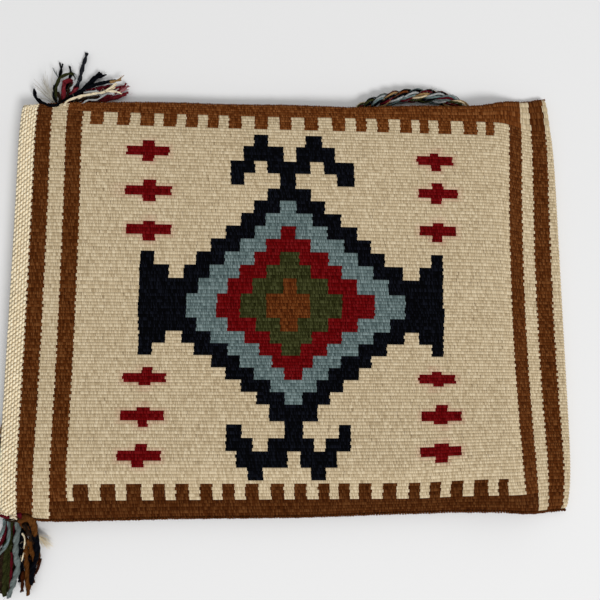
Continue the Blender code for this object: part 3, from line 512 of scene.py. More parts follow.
def border_fields(rib):
    """The stripes, which bow a little towards the mouth, and the toothed border that joins the
    two inner ones along either side."""
    side, j = count_out(rib)
    out = (EDGES[rib] + EDGES[rib + 1]) / (UPPER_EDGE - LOWER_EDGE)
    found = []
    for (start, end), bows in zip(stripes(), STRIPE_BOWS):
        start, end = (edge + bow * (1 - out * out) for edge, bow in zip((start, end), bows))
        found.append(("brown", start, end))
    inner = found[1][1], found[2][2]
    # The upper border takes the brown painted lighter and the lower border the brown painted
    # darker, as painted light and shade.
    wool, teeth = ("brown_upper", UPPER_TEETH) if side > 0 else ("brown_lower", LOWER_TEETH)
    if j >= BORDER_FROM:
        found.append((wool, *inner))
    elif j >= TEETH_FROM:
        found += [(wool, start * MM, (start + wide) * MM) for start, wide in teeth]
    return found


def medallion_fields(side, j):
    """The stepped medallion with its side blocks, stem and hooks."""
    found = []
    row = sum(j >= end for end in ROW_ENDS[side])
    if row < len(ROW_ENDS[side]):
        edges = MEDALLION[side][row]
        for ring, colour in enumerate(RINGS[:len(edges) // 2]):
            found.append((colour, edges[ring], edges[-1 - ring]))
    for first, end, *pieces in NAVY_PIECES[side]:
        if first <= j < end:
            found += [("navy", low, high) for low, high in pieces]
    return [(colour, CENTRE[0] + low * MM, CENTRE[0] + high * MM) for colour, low, high in found]


def cross_spans(rib):
    """The stretches of red where a rib crosses one of the small crosses, in millimetres."""
    found = []
    for middle, at, reach, above, below in CROSSES:
        away = rib - MIDDLE_RIB - at
        if abs(away) <= 1:
            worn = 0.9 * noise.noise(Vector((rib * 0.7, at * 1.3, 2.0)))
            found.append((middle - reach + worn, middle + reach + 0.7 * worn))
        for offset, half, count in (above,) if away > 0 else (below,):
            if 1 < abs(away) <= 1 + count:
                found.append((middle + offset - half, middle + offset + half))
    return found


def rib_colours(rib, face):
    """Where each run of one colour starts along a rib, with its colour, from the mouth."""
    side, j = count_out(rib)
    fields = border_fields(rib)
    if face:
        fields += medallion_fields(side, j)
        fields += [("red", low * MM, high * MM) for low, high in cross_spans(rib)]
    marks = sorted({MOUTH, LENGTH / 2, *(edge for field in fields for edge in field[1:])})
    runs = []
    for low, high in zip(marks, marks[1:]):
        middle = (low + high) / 2
        # Within the hem the ground of warps takes the darker warp colour, which is painted shade
        # under the cotton floats.
        colour = "warp" if middle < MOUTH + HEM else "cream"
        for name, start, end in fields:
            if start < middle < end:
                colour = name
        if not runs or runs[-1][1] != colour:
            runs.append((low, colour))
    return runs


def wander(rib, place, colours):
    """How far a rib's edge of colour strays, since each pick turns back a little off line."""
    chance = noise.noise(Vector((rib * 1.7, place * 900, 0.5)))
    turn = 0.5 if rib % 2 else -0.5
    if "warp" in colours:
        return 0.0014 * turn + 0.0003 * chance
    reach = 0.0007 if "brown" in colours and abs(place) > 0.14 else 0.0004
    return reach * turn + 0.0005 * chance


def rib_runs(rib):
    """The runs of colour along the whole of a rib, down the face and back below it."""
    runs = []
    face = rib_colours(rib, True)
    for i, (start, colour) in enumerate(face):
        if i:
            start += wander(rib, start, (face[i - 1][1], colour))
        runs.append((start, colour))
    back = rib_colours(rib, False)
    ends = [start for start, _ in back[1:]] + [MIRROR / 2]
    for (_, colour), end, place in reversed(list(zip(back, ends, range(len(back))))):
        start = MIRROR - end
        if place < len(back) - 1:
            start += wander(rib, end, (colour, back[place + 1][1]))
            runs.append((start, colour))
        elif runs[-1][1] != colour:
            runs.append((MIRROR / 2, colour))
    return runs


def spread(low, high, longest):
    count = max(1, math.ceil((high - low) / longest))
    return [low + (high - low) * i / count for i in range(count)]


def plain_stations():
    """The places along the panel where every rib has a point."""
    marks = spread(MOUTH, MOUTH + 0.03, 0.005) + spread(MOUTH + 0.03, 0.134, 0.0105)
    marks += spread(0.134, ARC_START, 0.0042)
    arc = spread(ARC_START, ARC_START + ARC_LENGTH, ARC_LENGTH / 12)
    under = [MIRROR - mark for mark in reversed(marks)]
    return marks + arc + [MIRROR - ARC_START] + under


EDGE_DROP, EDGE_REACH = 0.0010, 0.0032


def edge_drop(v):
    """How far the face rounds down towards the sides."""
    inward = min(UPPER_EDGE - v, v - LOWER_EDGE)
    return EDGE_DROP * max(0.0, 1 - inward / EDGE_REACH) ** 2


HEM_DEPTH = 0.0009


def hem_depth(s):
    """Within the hem only the warps lie here, since its cotton cords are made one by one."""
    u = s if s <= ARC_START else MIRROR - s
    return HEM_DEPTH * (1 - ease(MOUTH + HEM - 0.0012, MOUTH + HEM + 0.0002, u))


class Cloth:
    """Collects the points and faces of a mesh, with where each point lies in the weave."""

    def __init__(self):
        self.points, self.faces, self.slots, self.weave, self.blush = [], [], [], [], []

    def point(self, place, weave, blush=0.0):
        self.points.append(place)
        self.weave.append(weave)
        self.blush.append(blush)
        return len(self.points) - 1

    def face(self, corners, slot):
        self.faces.append(corners)
        self.slots.append(slot)

    def tube(self, rings, slot, turned=False):
        """The skin through a row of rings of points, closed at both ends."""
        skin = []
        for low, high in zip(rings, rings[1:]):
            for k, n in enumerate([*range(1, len(low)), 0]):
                skin.append([low[k], low[n], high[n], high[k]])
        for corners in (*skin, rings[0][::-1], rings[-1]):
            self.face(corners[::-1] if turned else corners, slot)

    def make(self, name, finishes, attribute="weave"):
        mesh = bpy.data.meshes.new(name)
        mesh.from_pydata(self.points, [], self.faces)
        mesh.polygons.foreach_set("material_index", self.slots)
        mesh.polygons.foreach_set("use_smooth", [True] * len(self.faces))
        where = mesh.attributes.new(attribute, "FLOAT_VECTOR", "POINT")
        where.data.foreach_set("vector", [part for place in self.weave for part in place])
        if any(self.blush):
            dye = mesh.attributes.new("blush", "FLOAT", "POINT")
            dye.data.foreach_set("value", self.blush)
        for finish in finishes:
            mesh.materials.append(finish)
        mesh.update()
        made = bpy.data.objects.new(name, mesh)
        bpy.context.scene.collection.objects.link(made)
        return made


def lace(cloth, low, high, cuts, slots, turned=False):
    """Faces between two lines of points, one for each stretch between two cuts."""
    i = j = 0
    for end, slot in zip(cuts[1:], slots):
        ring = []
        while low[i][0] < end - 1e-8:
            ring.append(low[i][1])
            i += 1
        ring.append(low[i][1])
        back = []
        while high[j][0] < end - 1e-8:
            back.append(high[j][1])
            j += 1
        back.append(high[j][1])
        ring += reversed(back)
        cloth.face(ring[::-1] if turned else ring, slot)


COLOURS = ("cream", "brown", "brown_upper", "brown_lower", "navy", "blue", "red", "olive",
           "rust", "warp")
BETWEEN = ((0.25, 0.00006), (0.5, 0.00017), (0.75, 0.00006))  # share of a rib, and its height
VALLEY = -0.00021
BLUSH_EDGES = (-18.5, -16.3, -7.5, 7.5, 16.3, 18.5)  # in millimetres from a cross's middle


def blush_at(rib, s):
    """How much red dye has run into the cream beside a cross."""
    most = 0.0
    if abs(s) < 0.13:
        for middle, at, reach, _, _ in CROSSES:
            away = abs(rib - MIDDLE_RIB - at)
            across = abs(s / MM - middle)
            if away < 7 and across < 20:
                over = max(0.0, across - (reach if away <= 2 else 4.4))
                up = max(0.0, away - (3.5 if across < 5 else 1.5)) * 2.1
                most = max(most, 1 - math.hypot(over, up) / 3.6)
    return most


def woven_cloth():
    """The folded tapestry, rib by rib, with each rib's runs of coloured weft."""
    cloth = Cloth()
    plain = plain_stations()
    cuts, slots = [], []
    for rib in range(RIBS):
        marks, found = rib_marks(rib, plain)
        cuts.append(marks)
        slots.append(found)

    def line(rib, share, height, marks):
        place = min(rib, RIBS - 1)
        v = EDGES[rib] if share == 0 else EDGES[rib] + share * (EDGES[rib + 1] - EDGES[rib])
        made = []
        for s in marks:
            hem = hem_depth(s)
            depth = edge_drop(v) + hem - height * (1 - hem / HEM_DEPTH)
            weave = ((s - MOUTH) / MM, v / MM, rib + share)
            made.append((s, cloth.point(fold_over(s, v, depth), weave, blush_at(place, s))))
        return made

    valleys = []
    for rib in range(RIBS + 1):
        near = set()
        for other in (rib - 1, rib):
            if 0 <= other < RIBS:
                near.update(cuts[other])
        valleys.append(line(rib, 0, VALLEY, sorted(near)))
    ends = []
    for rib in range(RIBS):
        rows = [line(rib, share, height, cuts[rib]) for share, height in BETWEEN]
        ends.append({end: [row[end][1] for row in rows] for end in (0, -1)})
        rows = [valleys[rib], *rows, valleys[rib + 1]]
        for low, high in zip(rows, rows[1:]):
            lace(cloth, low, high, cuts[rib], slots[rib])
    line_back(cloth, valleys, ends, plain, slots)
    return cloth.make("woven_tapestry", [woven_finish(name) for name in COLOURS])


def rib_marks(rib, plain):
    """The points along one rib, and the colour between each two of them."""
    runs = rib_runs(rib)
    starts = [start for start, _ in runs[1:]]
    kept = [mark for mark in plain[1:-1] if all(abs(mark - start) > 0.0011 for start in starts)]
    for middle, at, _, _, _ in CROSSES:
        if abs(rib - MIDDLE_RIB - at) <= 5:
            for edge in BLUSH_EDGES:
                mark = (middle + edge) * MM
                if all(abs(mark - other) > 0.0008 for other in kept + starts):
                    kept.append(mark)
    marks = sorted([plain[0], *kept, *starts, plain[-1]])
    found, n = [], 0
    for mark in marks[:-1]:
        while n < len(runs) - 1 and runs[n + 1][0] <= mark + 1e-9:
            n += 1
        found.append(COLOURS.index(runs[n][1]))
    return marks, found


def line_back(cloth, valleys, ends, plain, slots):
    """The inner side of the cloth, and the walls that close it to the outer one."""
    step = 4
    inner = []
    for rib in range(0, RIBS + 1, step):
        v = EDGES[rib]
        marks = [s for s, _ in valleys[rib]] if rib in (0, RIBS) else plain
        row = []
        for s in marks:
            depth = PLY - edge_drop(v) - 0.5 * hem_depth(s)
            row.append((s, cloth.point(fold_over(s, v, depth), ((s - MOUTH) / MM, v / MM, rib))))
        inner.append(row)
    for low, high in zip(inner, inner[1:]):
        lace(cloth, low, high, plain, [COLOURS.index("cream")] * (len(plain) - 1), True)
    for rib, turned in ((0, True), (-1, False)):
        marks = [s for s, _ in valleys[rib]]
        lace(cloth, valleys[rib], inner[rib], marks, slots[rib], turned)
    # The end faces at the mouth also take the warp colour, cotton darkened as painted shade.
    warp = COLOURS.index("warp")
    for end in (0, -1):
        for i, (low, high) in enumerate(zip(inner, inner[1:])):
            first = i * step
            across = [valleys[first][end][1]]
            for rib in range(first, first + step):
                across += [*ends[rib][end], valleys[rib + 1][end][1]]
            ring = [low[end][1], high[end][1], *reversed(across)]
            cloth.face(ring[::-1] if end == 0 else ring, warp)


# Cords and yarns

def smooth_run(points, step):
    """Points a step apart along the smooth curve through the given ones."""
    knots = [Vector(point) for point in points]
    knots.insert(0, 2 * knots[0] - knots[1])
    knots.append(2 * knots[-1] - knots[-2])
    fine = []
    for before, start, end, after in zip(knots, knots[1:], knots[2:], knots[3:]):
        for i in range(24):
            t = i / 24
            fine.append(
                start
                + 0.5 * t * (end - before)
                + t * t * (before - 2.5 * start + 2 * end - 0.5 * after)
                + 0.5 * t * t * t * (3 * start - 3 * end + after - before)
            )
    fine.append(knots[-2])
    lengths = [0.0]
    for a, b in zip(fine, fine[1:]):
        lengths.append(lengths[-1] + (b - a).length)
    count = max(2, round(lengths[-1] / step))
    run, i = [fine[0]], 0
    for n in range(1, count):
        target = lengths[-1] * n / count
        while lengths[i + 1] < target:
            i += 1
        share = (target - lengths[i]) / (lengths[i + 1] - lengths[i])
        run.append(fine[i].lerp(fine[i + 1], share))
    return [*run, fine[-1]]


def frames_along(spine):
    """At each point of a spine: two directions square to it, carried along without a twist, and
    how far along it lies."""
    found, gone = [], 0.0
    side = None
    for i, point in enumerate(spine):
        run = (spine[min(i + 1, len(spine) - 1)] - spine[max(i - 1, 0)]).normalized()
        if side is None:
            side = run.cross(Vector((0.0, 0.0, 1.0)))
            if side.length < 0.1:
                side = Vector((1.0, 0.0, 0.0))
        side = (side - side.dot(run) * run).normalized()
        if i:
            gone += (point - spine[i - 1]).length
        found.append((side, run.cross(side), gone))
    return found


def wind(spine, orbit, pitch, phase, wave=0.0):
    """The line of one strand wound round a spine, a turn for each pitch along it."""
    made = []
    for point, (side, over, gone) in zip(spine, frames_along(spine)):
        turn = 2 * math.pi * (gone / pitch + phase) + wave * math.sin(gone * 310 + phase * 9)
        made.append(point + orbit * (math.cos(turn) * side + math.sin(turn) * over))
    return made


def spin(cloth, spine, radius, slot, sides=6, twist=0.006, seed=0, taper=0.0):
    """A soft round yarn along a spine. It thins out towards its far end over the taper."""
    frames = frames_along(spine)
    total = frames[-1][2]
    rings = []
    for point, (side, over, gone) in zip(spine, frames):
        size = radius * (1 + 0.07 * math.sin(gone * 900 + seed) + 0.05 * math.sin(gone * 2300))
        if taper and total - gone < taper:
            size *= 0.72 + 0.28 * ease(0.0, taper, total - gone)
        ring = []
        for k in range(sides):
            angle = 2 * math.pi * k / sides
            turn = angle + 2 * math.pi * gone / twist
            place = point + size * (math.cos(turn) * side + math.sin(turn) * over)
            weave = (gone / MM + 137 * seed, math.cos(angle), math.sin(angle))
            ring.append(cloth.point(place, weave))
        rings.append(ring)
    cloth.tube(rings, slot)


def stray_hairs(cloth, spine, start, count, length, slot, seed, low=-0.2):
    """Fine fibres that stand off a yarn."""
    chance = random.Random(seed)
    frames = frames_along(spine)
    for _ in range(count):
        i = chance.randrange(len(spine))
        side, over, _ = frames[i]
        run = side.cross(over)
        turn = chance.uniform(0, 2 * math.pi)
        out = math.cos(turn) * side + math.sin(turn) * over
        if out.z < low:
            out.z = -out.z
        lean = chance.uniform(-1.0, 1.0)
        point = spine[i] + 0.8 * start * out
        heading = (out + lean * run).normalized()
        curl = Vector([chance.uniform(-1, 1) for _ in range(3)]) * 0.45
        reach = length * chance.uniform(0.4, 1.0)
        line = [point]
        for _ in range(4):
            heading = (heading + curl - 0.12 * out).normalized()
            line.append(line[-1] + heading * reach / 4)
        if min(place.z for place in line) > 0.0004:
            spin(cloth, line, chance.uniform(0.00004, 0.00008), slot, 3, 1.0, seed, reach)


def ply_yarn(cloth, spine, diameter, slots, pitch, seed, frayed=0.0, sides=6):
    """A yarn of plies twisted together, which may open out at its far end."""
    count = len(slots)
    core = {1: 0.0, 2: 0.36, 3: 0.48}[count]
    orbit, radius = core * diameter / 2, 1.08 * (1 - core) * diameter / 2
    for n, slot in enumerate(slots):
        line = wind(spine, orbit, pitch, n / count + 0.13 * seed, 0.35)
        if frayed:
            line = open_out(line, spine, frayed, seed + n)
        spin(cloth, line, radius, slot, sides, 0.0065, seed + n / 5, 1.4 * frayed)


def open_out(line, spine, length, seed):
    """Lets the last of a ply drift away from its yarn."""
    chance = random.Random(seed * 31 + 7)
    away = Vector([chance.uniform(-1, 1), chance.uniform(-1, 1), chance.uniform(0, 0.6)])
    total = sum((b - a).length for a, b in zip(spine, spine[1:]))
    gone, made = 0.0, []
    for i, point in enumerate(line):
        if i:
            gone += (spine[i] - spine[i - 1]).length
        share = max(0.0, 1 - (total - gone) / length)
        moved = point + away * 0.0010 * share ** 1.5
        moved.z = max(moved.z, TABLE_CLEAR)
        made.append(moved)
    return made


# The hem at the mouth

HEM_COLUMNS, HEM_GAP, HEM_DRAW, HEM_DRAW_REACH = 6, 0.0030, 0.0040, 0.010
FLOAT_HALF, FLOAT_RADIUS, FLOAT_LEAN = 0.00138, 0.00080, 19
FLOAT_SHAPE = (  # share of the half length, depth below the face, share of the thickness
    (-1.0, 0.0011, 0.45), (-0.62, 0.0007, 0.88), (0.0, 0.00048, 1.0), (0.62, 0.0007, 0.88),
    (1.0, 0.0011, 0.45),
)


def mouth_hem(name, far):
    """Short slanting floats of cotton, worked in close columns along the mouth of one ply."""
    cloth = Cloth()
    chance = random.Random(8 + far)
    count = round((UPPER_EDGE - LOWER_EDGE) / HEM_GAP)
    gap = (UPPER_EDGE - LOWER_EDGE) / count
    for n in range(HEM_COLUMNS):
        for i in range(count):
            v = LOWER_EDGE + gap * (i + (0.75 if n % 2 else 0.25))
            inward = min(UPPER_EDGE - v, v - LOWER_EDGE)
            draw = HEM_DRAW * (1 - n / HEM_COLUMNS) * max(0.0, 1 - inward / HEM_DRAW_REACH) ** 2
            s = MOUTH + (n + 0.42) * HEM / HEM_COLUMNS + draw + chance.uniform(-0.00012, 0.00012)
            half = FLOAT_HALF * chance.uniform(0.88, 1.12)
            lean = math.radians(FLOAT_LEAN + chance.uniform(-8, 8))
            line = []
            for t, deep, _ in FLOAT_SHAPE:
                along = s + t * half * math.sin(lean)
                across = min(max(v + t * half * math.cos(lean), LOWER_EDGE), UPPER_EDGE)
                if far:
                    along = MIRROR - along
                edge = 0.0006 if n == 0 else 0.0
                line.append(fold_over(along, across, deep + edge + edge_drop(across)))
            radius = FLOAT_RADIUS * chance.uniform(0.85, 1.15)
            hem_float(cloth, line, radius, (n * 7 + i) % 2, 300 + n * count + i)
    return cloth.make(name, [yarn_finish("cotton"), yarn_finish("cotton_pale")], "spun")


def hem_float(cloth, line, radius, slot, seed):
    """One float: a short piece of yarn that dips into the cloth at both ends."""
    rings = []
    for point, (_, _, share), (side, over, gone) in zip(line, FLOAT_SHAPE, frames_along(line)):
        ring = []
        for k in range(6):
            turn = 2 * math.pi * k / 6
            place = point + share * radius * (math.cos(turn) * side + math.sin(turn) * over)
            ring.append(cloth.point(place, (gone / MM + seed, math.cos(turn), math.sin(turn))))
        rings.append(ring)
    cloth.tube(rings, slot)


# The side seams

SEAM_PITCH, SEAM_RADIUS, SEAM_REACH = 0.0017, 0.00088, 0.0007
SEAM_INWARD = {1: 0.0002, -1: -0.0007}
SEAM_POINTS = 2400


def side_seam(name, edge_v, way):
    """Brown wool sewn over and over along one side, through both plies, and pale at the hem."""
    cloth = Cloth()
    axis = []
    for i in range(SEAM_POINTS + 1):
        u = MOUTH + (LENGTH / 2 - 0.001 - MOUTH) * i / SEAM_POINTS
        x, y = lay(min(u, ARC_START), edge_v)
        x += max(0.0, u - ARC_START)
        z = underside(min(u, ARC_START), edge_v) + PLY + SEAM_GAP / 2
        axis.append(Vector((x, y - way * SEAM_INWARD[way], z)))
    spine = []
    for point, (side, over, gone) in zip(axis, frames_along(axis)):
        turn = 2 * math.pi * gone / SEAM_PITCH + 0.6 * math.sin(gone * 400)
        wide = SEAM_REACH + 0.0001 * math.sin(gone * 730)
        spine.append(point + wide * (math.cos(turn) * side + 2.0 * math.sin(turn) * over))
    pale = round(SEAM_POINTS * HEM / LENGTH)
    spin(cloth, spine[:pale + 1:2], SEAM_RADIUS, 1, 5)
    spin(cloth, spine[pale::2], SEAM_RADIUS, 0, 5)
    stray_hairs(cloth, axis[pale:], start=0.0012, count=620, length=0.0017, slot=0, seed=5 + way)
    # Each seam takes its border's brown, painted lighter on the upper side and darker on the lower
    # side, as painted light and shade.
    wool = "brown_upper" if way > 0 else "brown_lower"
    return cloth.make(name, [yarn_finish(wool), yarn_finish("cotton")], "spun")


# The strap

def rope_line(step):
    """The rope's centreline, straight where it enters the bindings."""
    height = ROPE_DIAMETER / 2
    shift = Vector((*SHIFT, 0.0))
    route = [Vector((x, y, height)) for x, y in ROPE_ROUTE]
    for (x, y), way, place in ((LOWER_BINDING, 1, 0), (UPPER_BINDING, -1, len(route) + 1)):
        inner = y + way * (BINDING_LENGTH / 2 + CLEARANCE)
        route.insert(place, Vector((x, inner + way * ROPE_DIAMETER / 2, height)))
    run = smooth_run(route, step)
    straight = Vector((0.0, ROPE_DIAMETER / 2, 0.0))
    half = straight / 2
    ends = [run[0] - straight, run[0] - half], [run[-1] + half, run[-1] + straight]
    return [point + shift for point in (*ends[0], *run, *ends[1])]


STRAND_PITCH, STRAND_ORBIT, STRAND_PHASE = -0.0255, 0.0027, -0.26
ROPE_YARN_PITCH, ROPE_YARN_ORBIT, ROPE_YARN_RADIUS = 0.034, 0.00168, 0.00086
ROPE_STEP, ROPE_SEEN_FROM = 0.0016, 0.135
ROPE_STRANDS = (
    ("grey", "pale_blue", "maroon", "blue", "grey", "navy", "blue"),
    ("grey", "navy", "rust", "navy", "olive", "navy", "blue"),
    ("ochre", "maroon", "olive", "cream", "ochre", "maroon", "navy"),
)
ROPE_COLOURS = ("grey", "maroon", "blue", "navy", "rust", "ochre", "olive", "cream", "pale_blue")


def strap():
    """Three strands of seven yarns each, laid up into one thick soft rope."""
    cloth = Cloth()
    line = rope_line(ROPE_STEP)
    for n, colours in enumerate(ROPE_STRANDS):
        strand = wind(line, STRAND_ORBIT, STRAND_PITCH, n / 3 + STRAND_PHASE)
        for k, colour in enumerate(colours):
            yarn = wind(strand, ROPE_YARN_ORBIT, ROPE_YARN_PITCH, k / 7 + 0.11 * n, 0.3)
            slot = ROPE_COLOURS.index(colour)
            spin(cloth, yarn, ROPE_YARN_RADIUS, slot, 5, 0.007, 7 * n + k)
    seen = [point for point in line if point.y > ROPE_SEEN_FROM and point.x > 0]
    for k, colour in enumerate(("grey", "blue", "ochre", "grey")):
        slot = ROPE_COLOURS.index(colour)
        stray_hairs(cloth, seen, start=0.0048, count=45, length=0.0042, slot=slot, seed=40 + k)
    made = cloth.make("rope_strap", [yarn_finish(name) for name in ROPE_COLOURS], "spun")
    return made, line


WRAP_COLOURS = ("red", "cream", "navy")
WRAP_THREAD, WRAP_LAY, WRAP_TURNS, WRAP_STEPS = 0.0017, 0.0045, 7, 26
CORE_RINGS, CORE_SIDES = 5, 20


def rope_wrap(name, middle, way, colours):
    """Thread wound round an end of the rope where it is sewn to the bag."""
    cloth = Cloth()
    x, y = middle[0] + SHIFT[0], middle[1] + SHIFT[1]
    height = ROPE_DIAMETER - CLEARANCE

    def place(turn, along, inset):
        wide, high = BINDING_WIDTH / 2 - inset, height / 2 - inset
        return Vector((x + wide * math.cos(turn), y + along, height / 2 + high * math.sin(turn)))

    rings = []
    for i in range(CORE_RINGS):
        along = way * (BINDING_LENGTH - 0.002) * (i / (CORE_RINGS - 1) - 0.5)
        ring = []
        for k in range(CORE_SIDES):
            turn = 2 * math.pi * k / CORE_SIDES
            weave = (0.0, math.cos(turn), math.sin(turn))
            ring.append(cloth.point(place(turn, along, WRAP_THREAD * 0.75), weave))
        rings.append(ring)
    cloth.tube(rings, 0, way > 0)
    steps = WRAP_TURNS * WRAP_STEPS
    thread = []
    for i in range(steps + 1):
        along = way * (BINDING_LENGTH - WRAP_THREAD) * (i / steps - 0.5)
        thread.append(place(2 * math.pi * i / WRAP_STEPS, along, WRAP_THREAD / 2))
    cuts = [math.ceil(n * steps / len(colours)) for n in range(len(colours) + 1)]
    for n, (first, last) in enumerate(zip(cuts, cuts[1:])):
        run = smooth_run(thread[first:last + 1], 0.0008)
        slot = WRAP_COLOURS.index(colours[n])
        ply_yarn(cloth, run, WRAP_THREAD, (slot, slot), WRAP_LAY, n)
    return cloth.make(name, [yarn_finish(colour) for colour in WRAP_COLOURS], "spun")


TASSEL_COLOURS = ("navy", "blue", "crimson", "moss", "bronze", "cotton", "grey", "ochre", "maroon",
                  "pale_blue", "pink", "dark", "ink", "umber", "fleece")
YARN_STEP, YARN_LAY, YARN_FRAY = 0.0009, 0.015, 0.006
LOOSE_LAY, LOOSE_FRAY = 0.013, 0.005
TABLE_CLEAR = 0.0008  # the lowest that the middle of a fibre lies


def tassel(name, middle, way, yarns, loose, wisps):
    """The yarns that run out of a binding, with more over and under them and frayed ends."""
    cloth = Cloth()
    shift = Vector((*SHIFT, 0.0))
    face = middle[1] + way * (BINDING_LENGTH / 2 - 0.0010)  # just inside the binding's end

    def run_of(points):
        return [shift + Vector((px * MM, py * MM, pz * MM)) for px, py, pz in points]

    for n, (place, plies, thick, run) in enumerate(yarns.values()):
        x = middle[0] + place[0] * YARN_PITCH
        z = (ROPE_DIAMETER - CLEARANCE) / 2 + (place[1] - 1) * YARN_PITCH
        points = [shift + Vector((x, face, z)), shift + Vector((x, face + way * 0.0034, z))]
        spine = smooth_run(points + run_of(run), YARN_STEP)
        slots = [TASSEL_COLOURS.index(colour) for colour in plies]
        ply_yarn(cloth, spine, thick * MM, slots, YARN_LAY, n + 1, YARN_FRAY)
        stray_hairs(cloth, spine, 0.0011, 9, 0.0038, slots[0], 60 + n)
    for n, (colour, thick, run) in enumerate(loose):
        spine = smooth_run(run_of(run), YARN_STEP)
        slot = TASSEL_COLOURS.index(colour)
        ply_yarn(cloth, spine, thick * MM, (slot, slot), LOOSE_LAY, n + 20, LOOSE_FRAY)
        stray_hairs(cloth, spine, 0.4 * thick * MM, 6, 0.0034, slot, 160 + n)
    for n, (colour, count, spread, run) in enumerate(wisps):
        wisp(cloth, run_of(run), count, spread * MM, TASSEL_COLOURS.index(colour), 30 + n)
    return cloth.make(name, [yarn_finish(colour) for colour in TASSEL_COLOURS], "spun")


def wisp(cloth, run, count, spread, slot, seed):
    """Fine fibres that spread out from the end of a yarn that has come undone."""
    chance = random.Random(seed)
    for _ in range(count):
        away = Vector([chance.uniform(-1, 1), chance.uniform(-1, 1), chance.uniform(-0.5, 0.7)])
        reach = chance.uniform(0.55, 1.0)
        line = []
        for i, point in enumerate(run):
            share = i / (len(run) - 1)
            place = point.lerp(run[0], 1 - reach) + away * spread * (0.08 + 0.92 * share ** 1.3)
            place.z = max(place.z, TABLE_CLEAR)
            line.append(place)
        radius = chance.uniform(0.00010, 0.00020)
        spin(cloth, smooth_run(line, 0.0012), radius, slot, 3, 1.0, seed, 0.004)


# Finishes

BEAD = 0.54  # how much of a rib each pass of the weft takes up, in millimetres
SPECK = (0.10, 0.055, 0.030, 1.0)
RUN_DYE = (0.50, 0.20, 0.155, 1.0)
WEAVE_RELIEF, YARN_RELIEF, BUMP_STRENGTH = 0.00032, 0.00012, 0.75
ROUGHNESS, SHINE = 0.92, 0.03


class Net:
    """Places shader nodes and joins them."""

    def __init__(self, tree):
        self.tree = tree

    def node(self, kind, *values, **settings):
        made = self.tree.nodes.new("ShaderNode" + kind)
        for name, value in settings.items():
            setattr(made, name, value)
        for socket, value in zip(made.inputs, values):
            self.feed(socket, value)
        return made

    def feed(self, socket, value):
        if isinstance(value, bpy.types.NodeSocket):
            self.tree.links.new(value, socket)
        elif value is not None:
            socket.default_value = value

    def calc(self, operation, *values):
        return self.node("Math", *values, operation=operation).outputs[0]

    def between(self, value, low, high, to_low=0.0, to_high=1.0):
        made = self.node("MapRange", value, low, high, to_low, to_high)
        made.interpolation_type = "SMOOTHSTEP"
        return made.outputs[0]

    def vector(self, x, y, z):
        return self.node("CombineXYZ", x, y, z).outputs[0]

    def noise(self, place, scale, detail=2.0):
        made = self.node("TexNoise", place)
        made.inputs["Scale"].default_value = scale
        made.inputs["Detail"].default_value = detail
        return made.outputs[0]

    def mix(self, share, first, second, kind="MIX"):
        made = self.node("Mix", data_type="RGBA", blend_type=kind)
        self.feed(made.inputs[0], share)
        self.feed(made.inputs[6], first)
        self.feed(made.inputs[7], second)
        return made.outputs[2]


def new_group(name, values):
    """A shader group with three tones and a few values in, and colour and height out."""
    tree = bpy.data.node_groups.new(name, "ShaderNodeTree")
    face = tree.interface
    for socket in ("Middle", "Light", "Dark"):
        face.new_socket(socket, in_out="INPUT", socket_type="NodeSocketColor")
    for socket, value in values.items():
        made = face.new_socket(socket, in_out="INPUT", socket_type="NodeSocketFloat")
        made.default_value = value
    face.new_socket("Color", in_out="OUTPUT", socket_type="NodeSocketColor")
    face.new_socket("Height", in_out="OUTPUT", socket_type="NodeSocketFloat")
    net = Net(tree)
    return net, tree.nodes.new("NodeGroupInput").outputs, tree.nodes.new("NodeGroupOutput").inputs


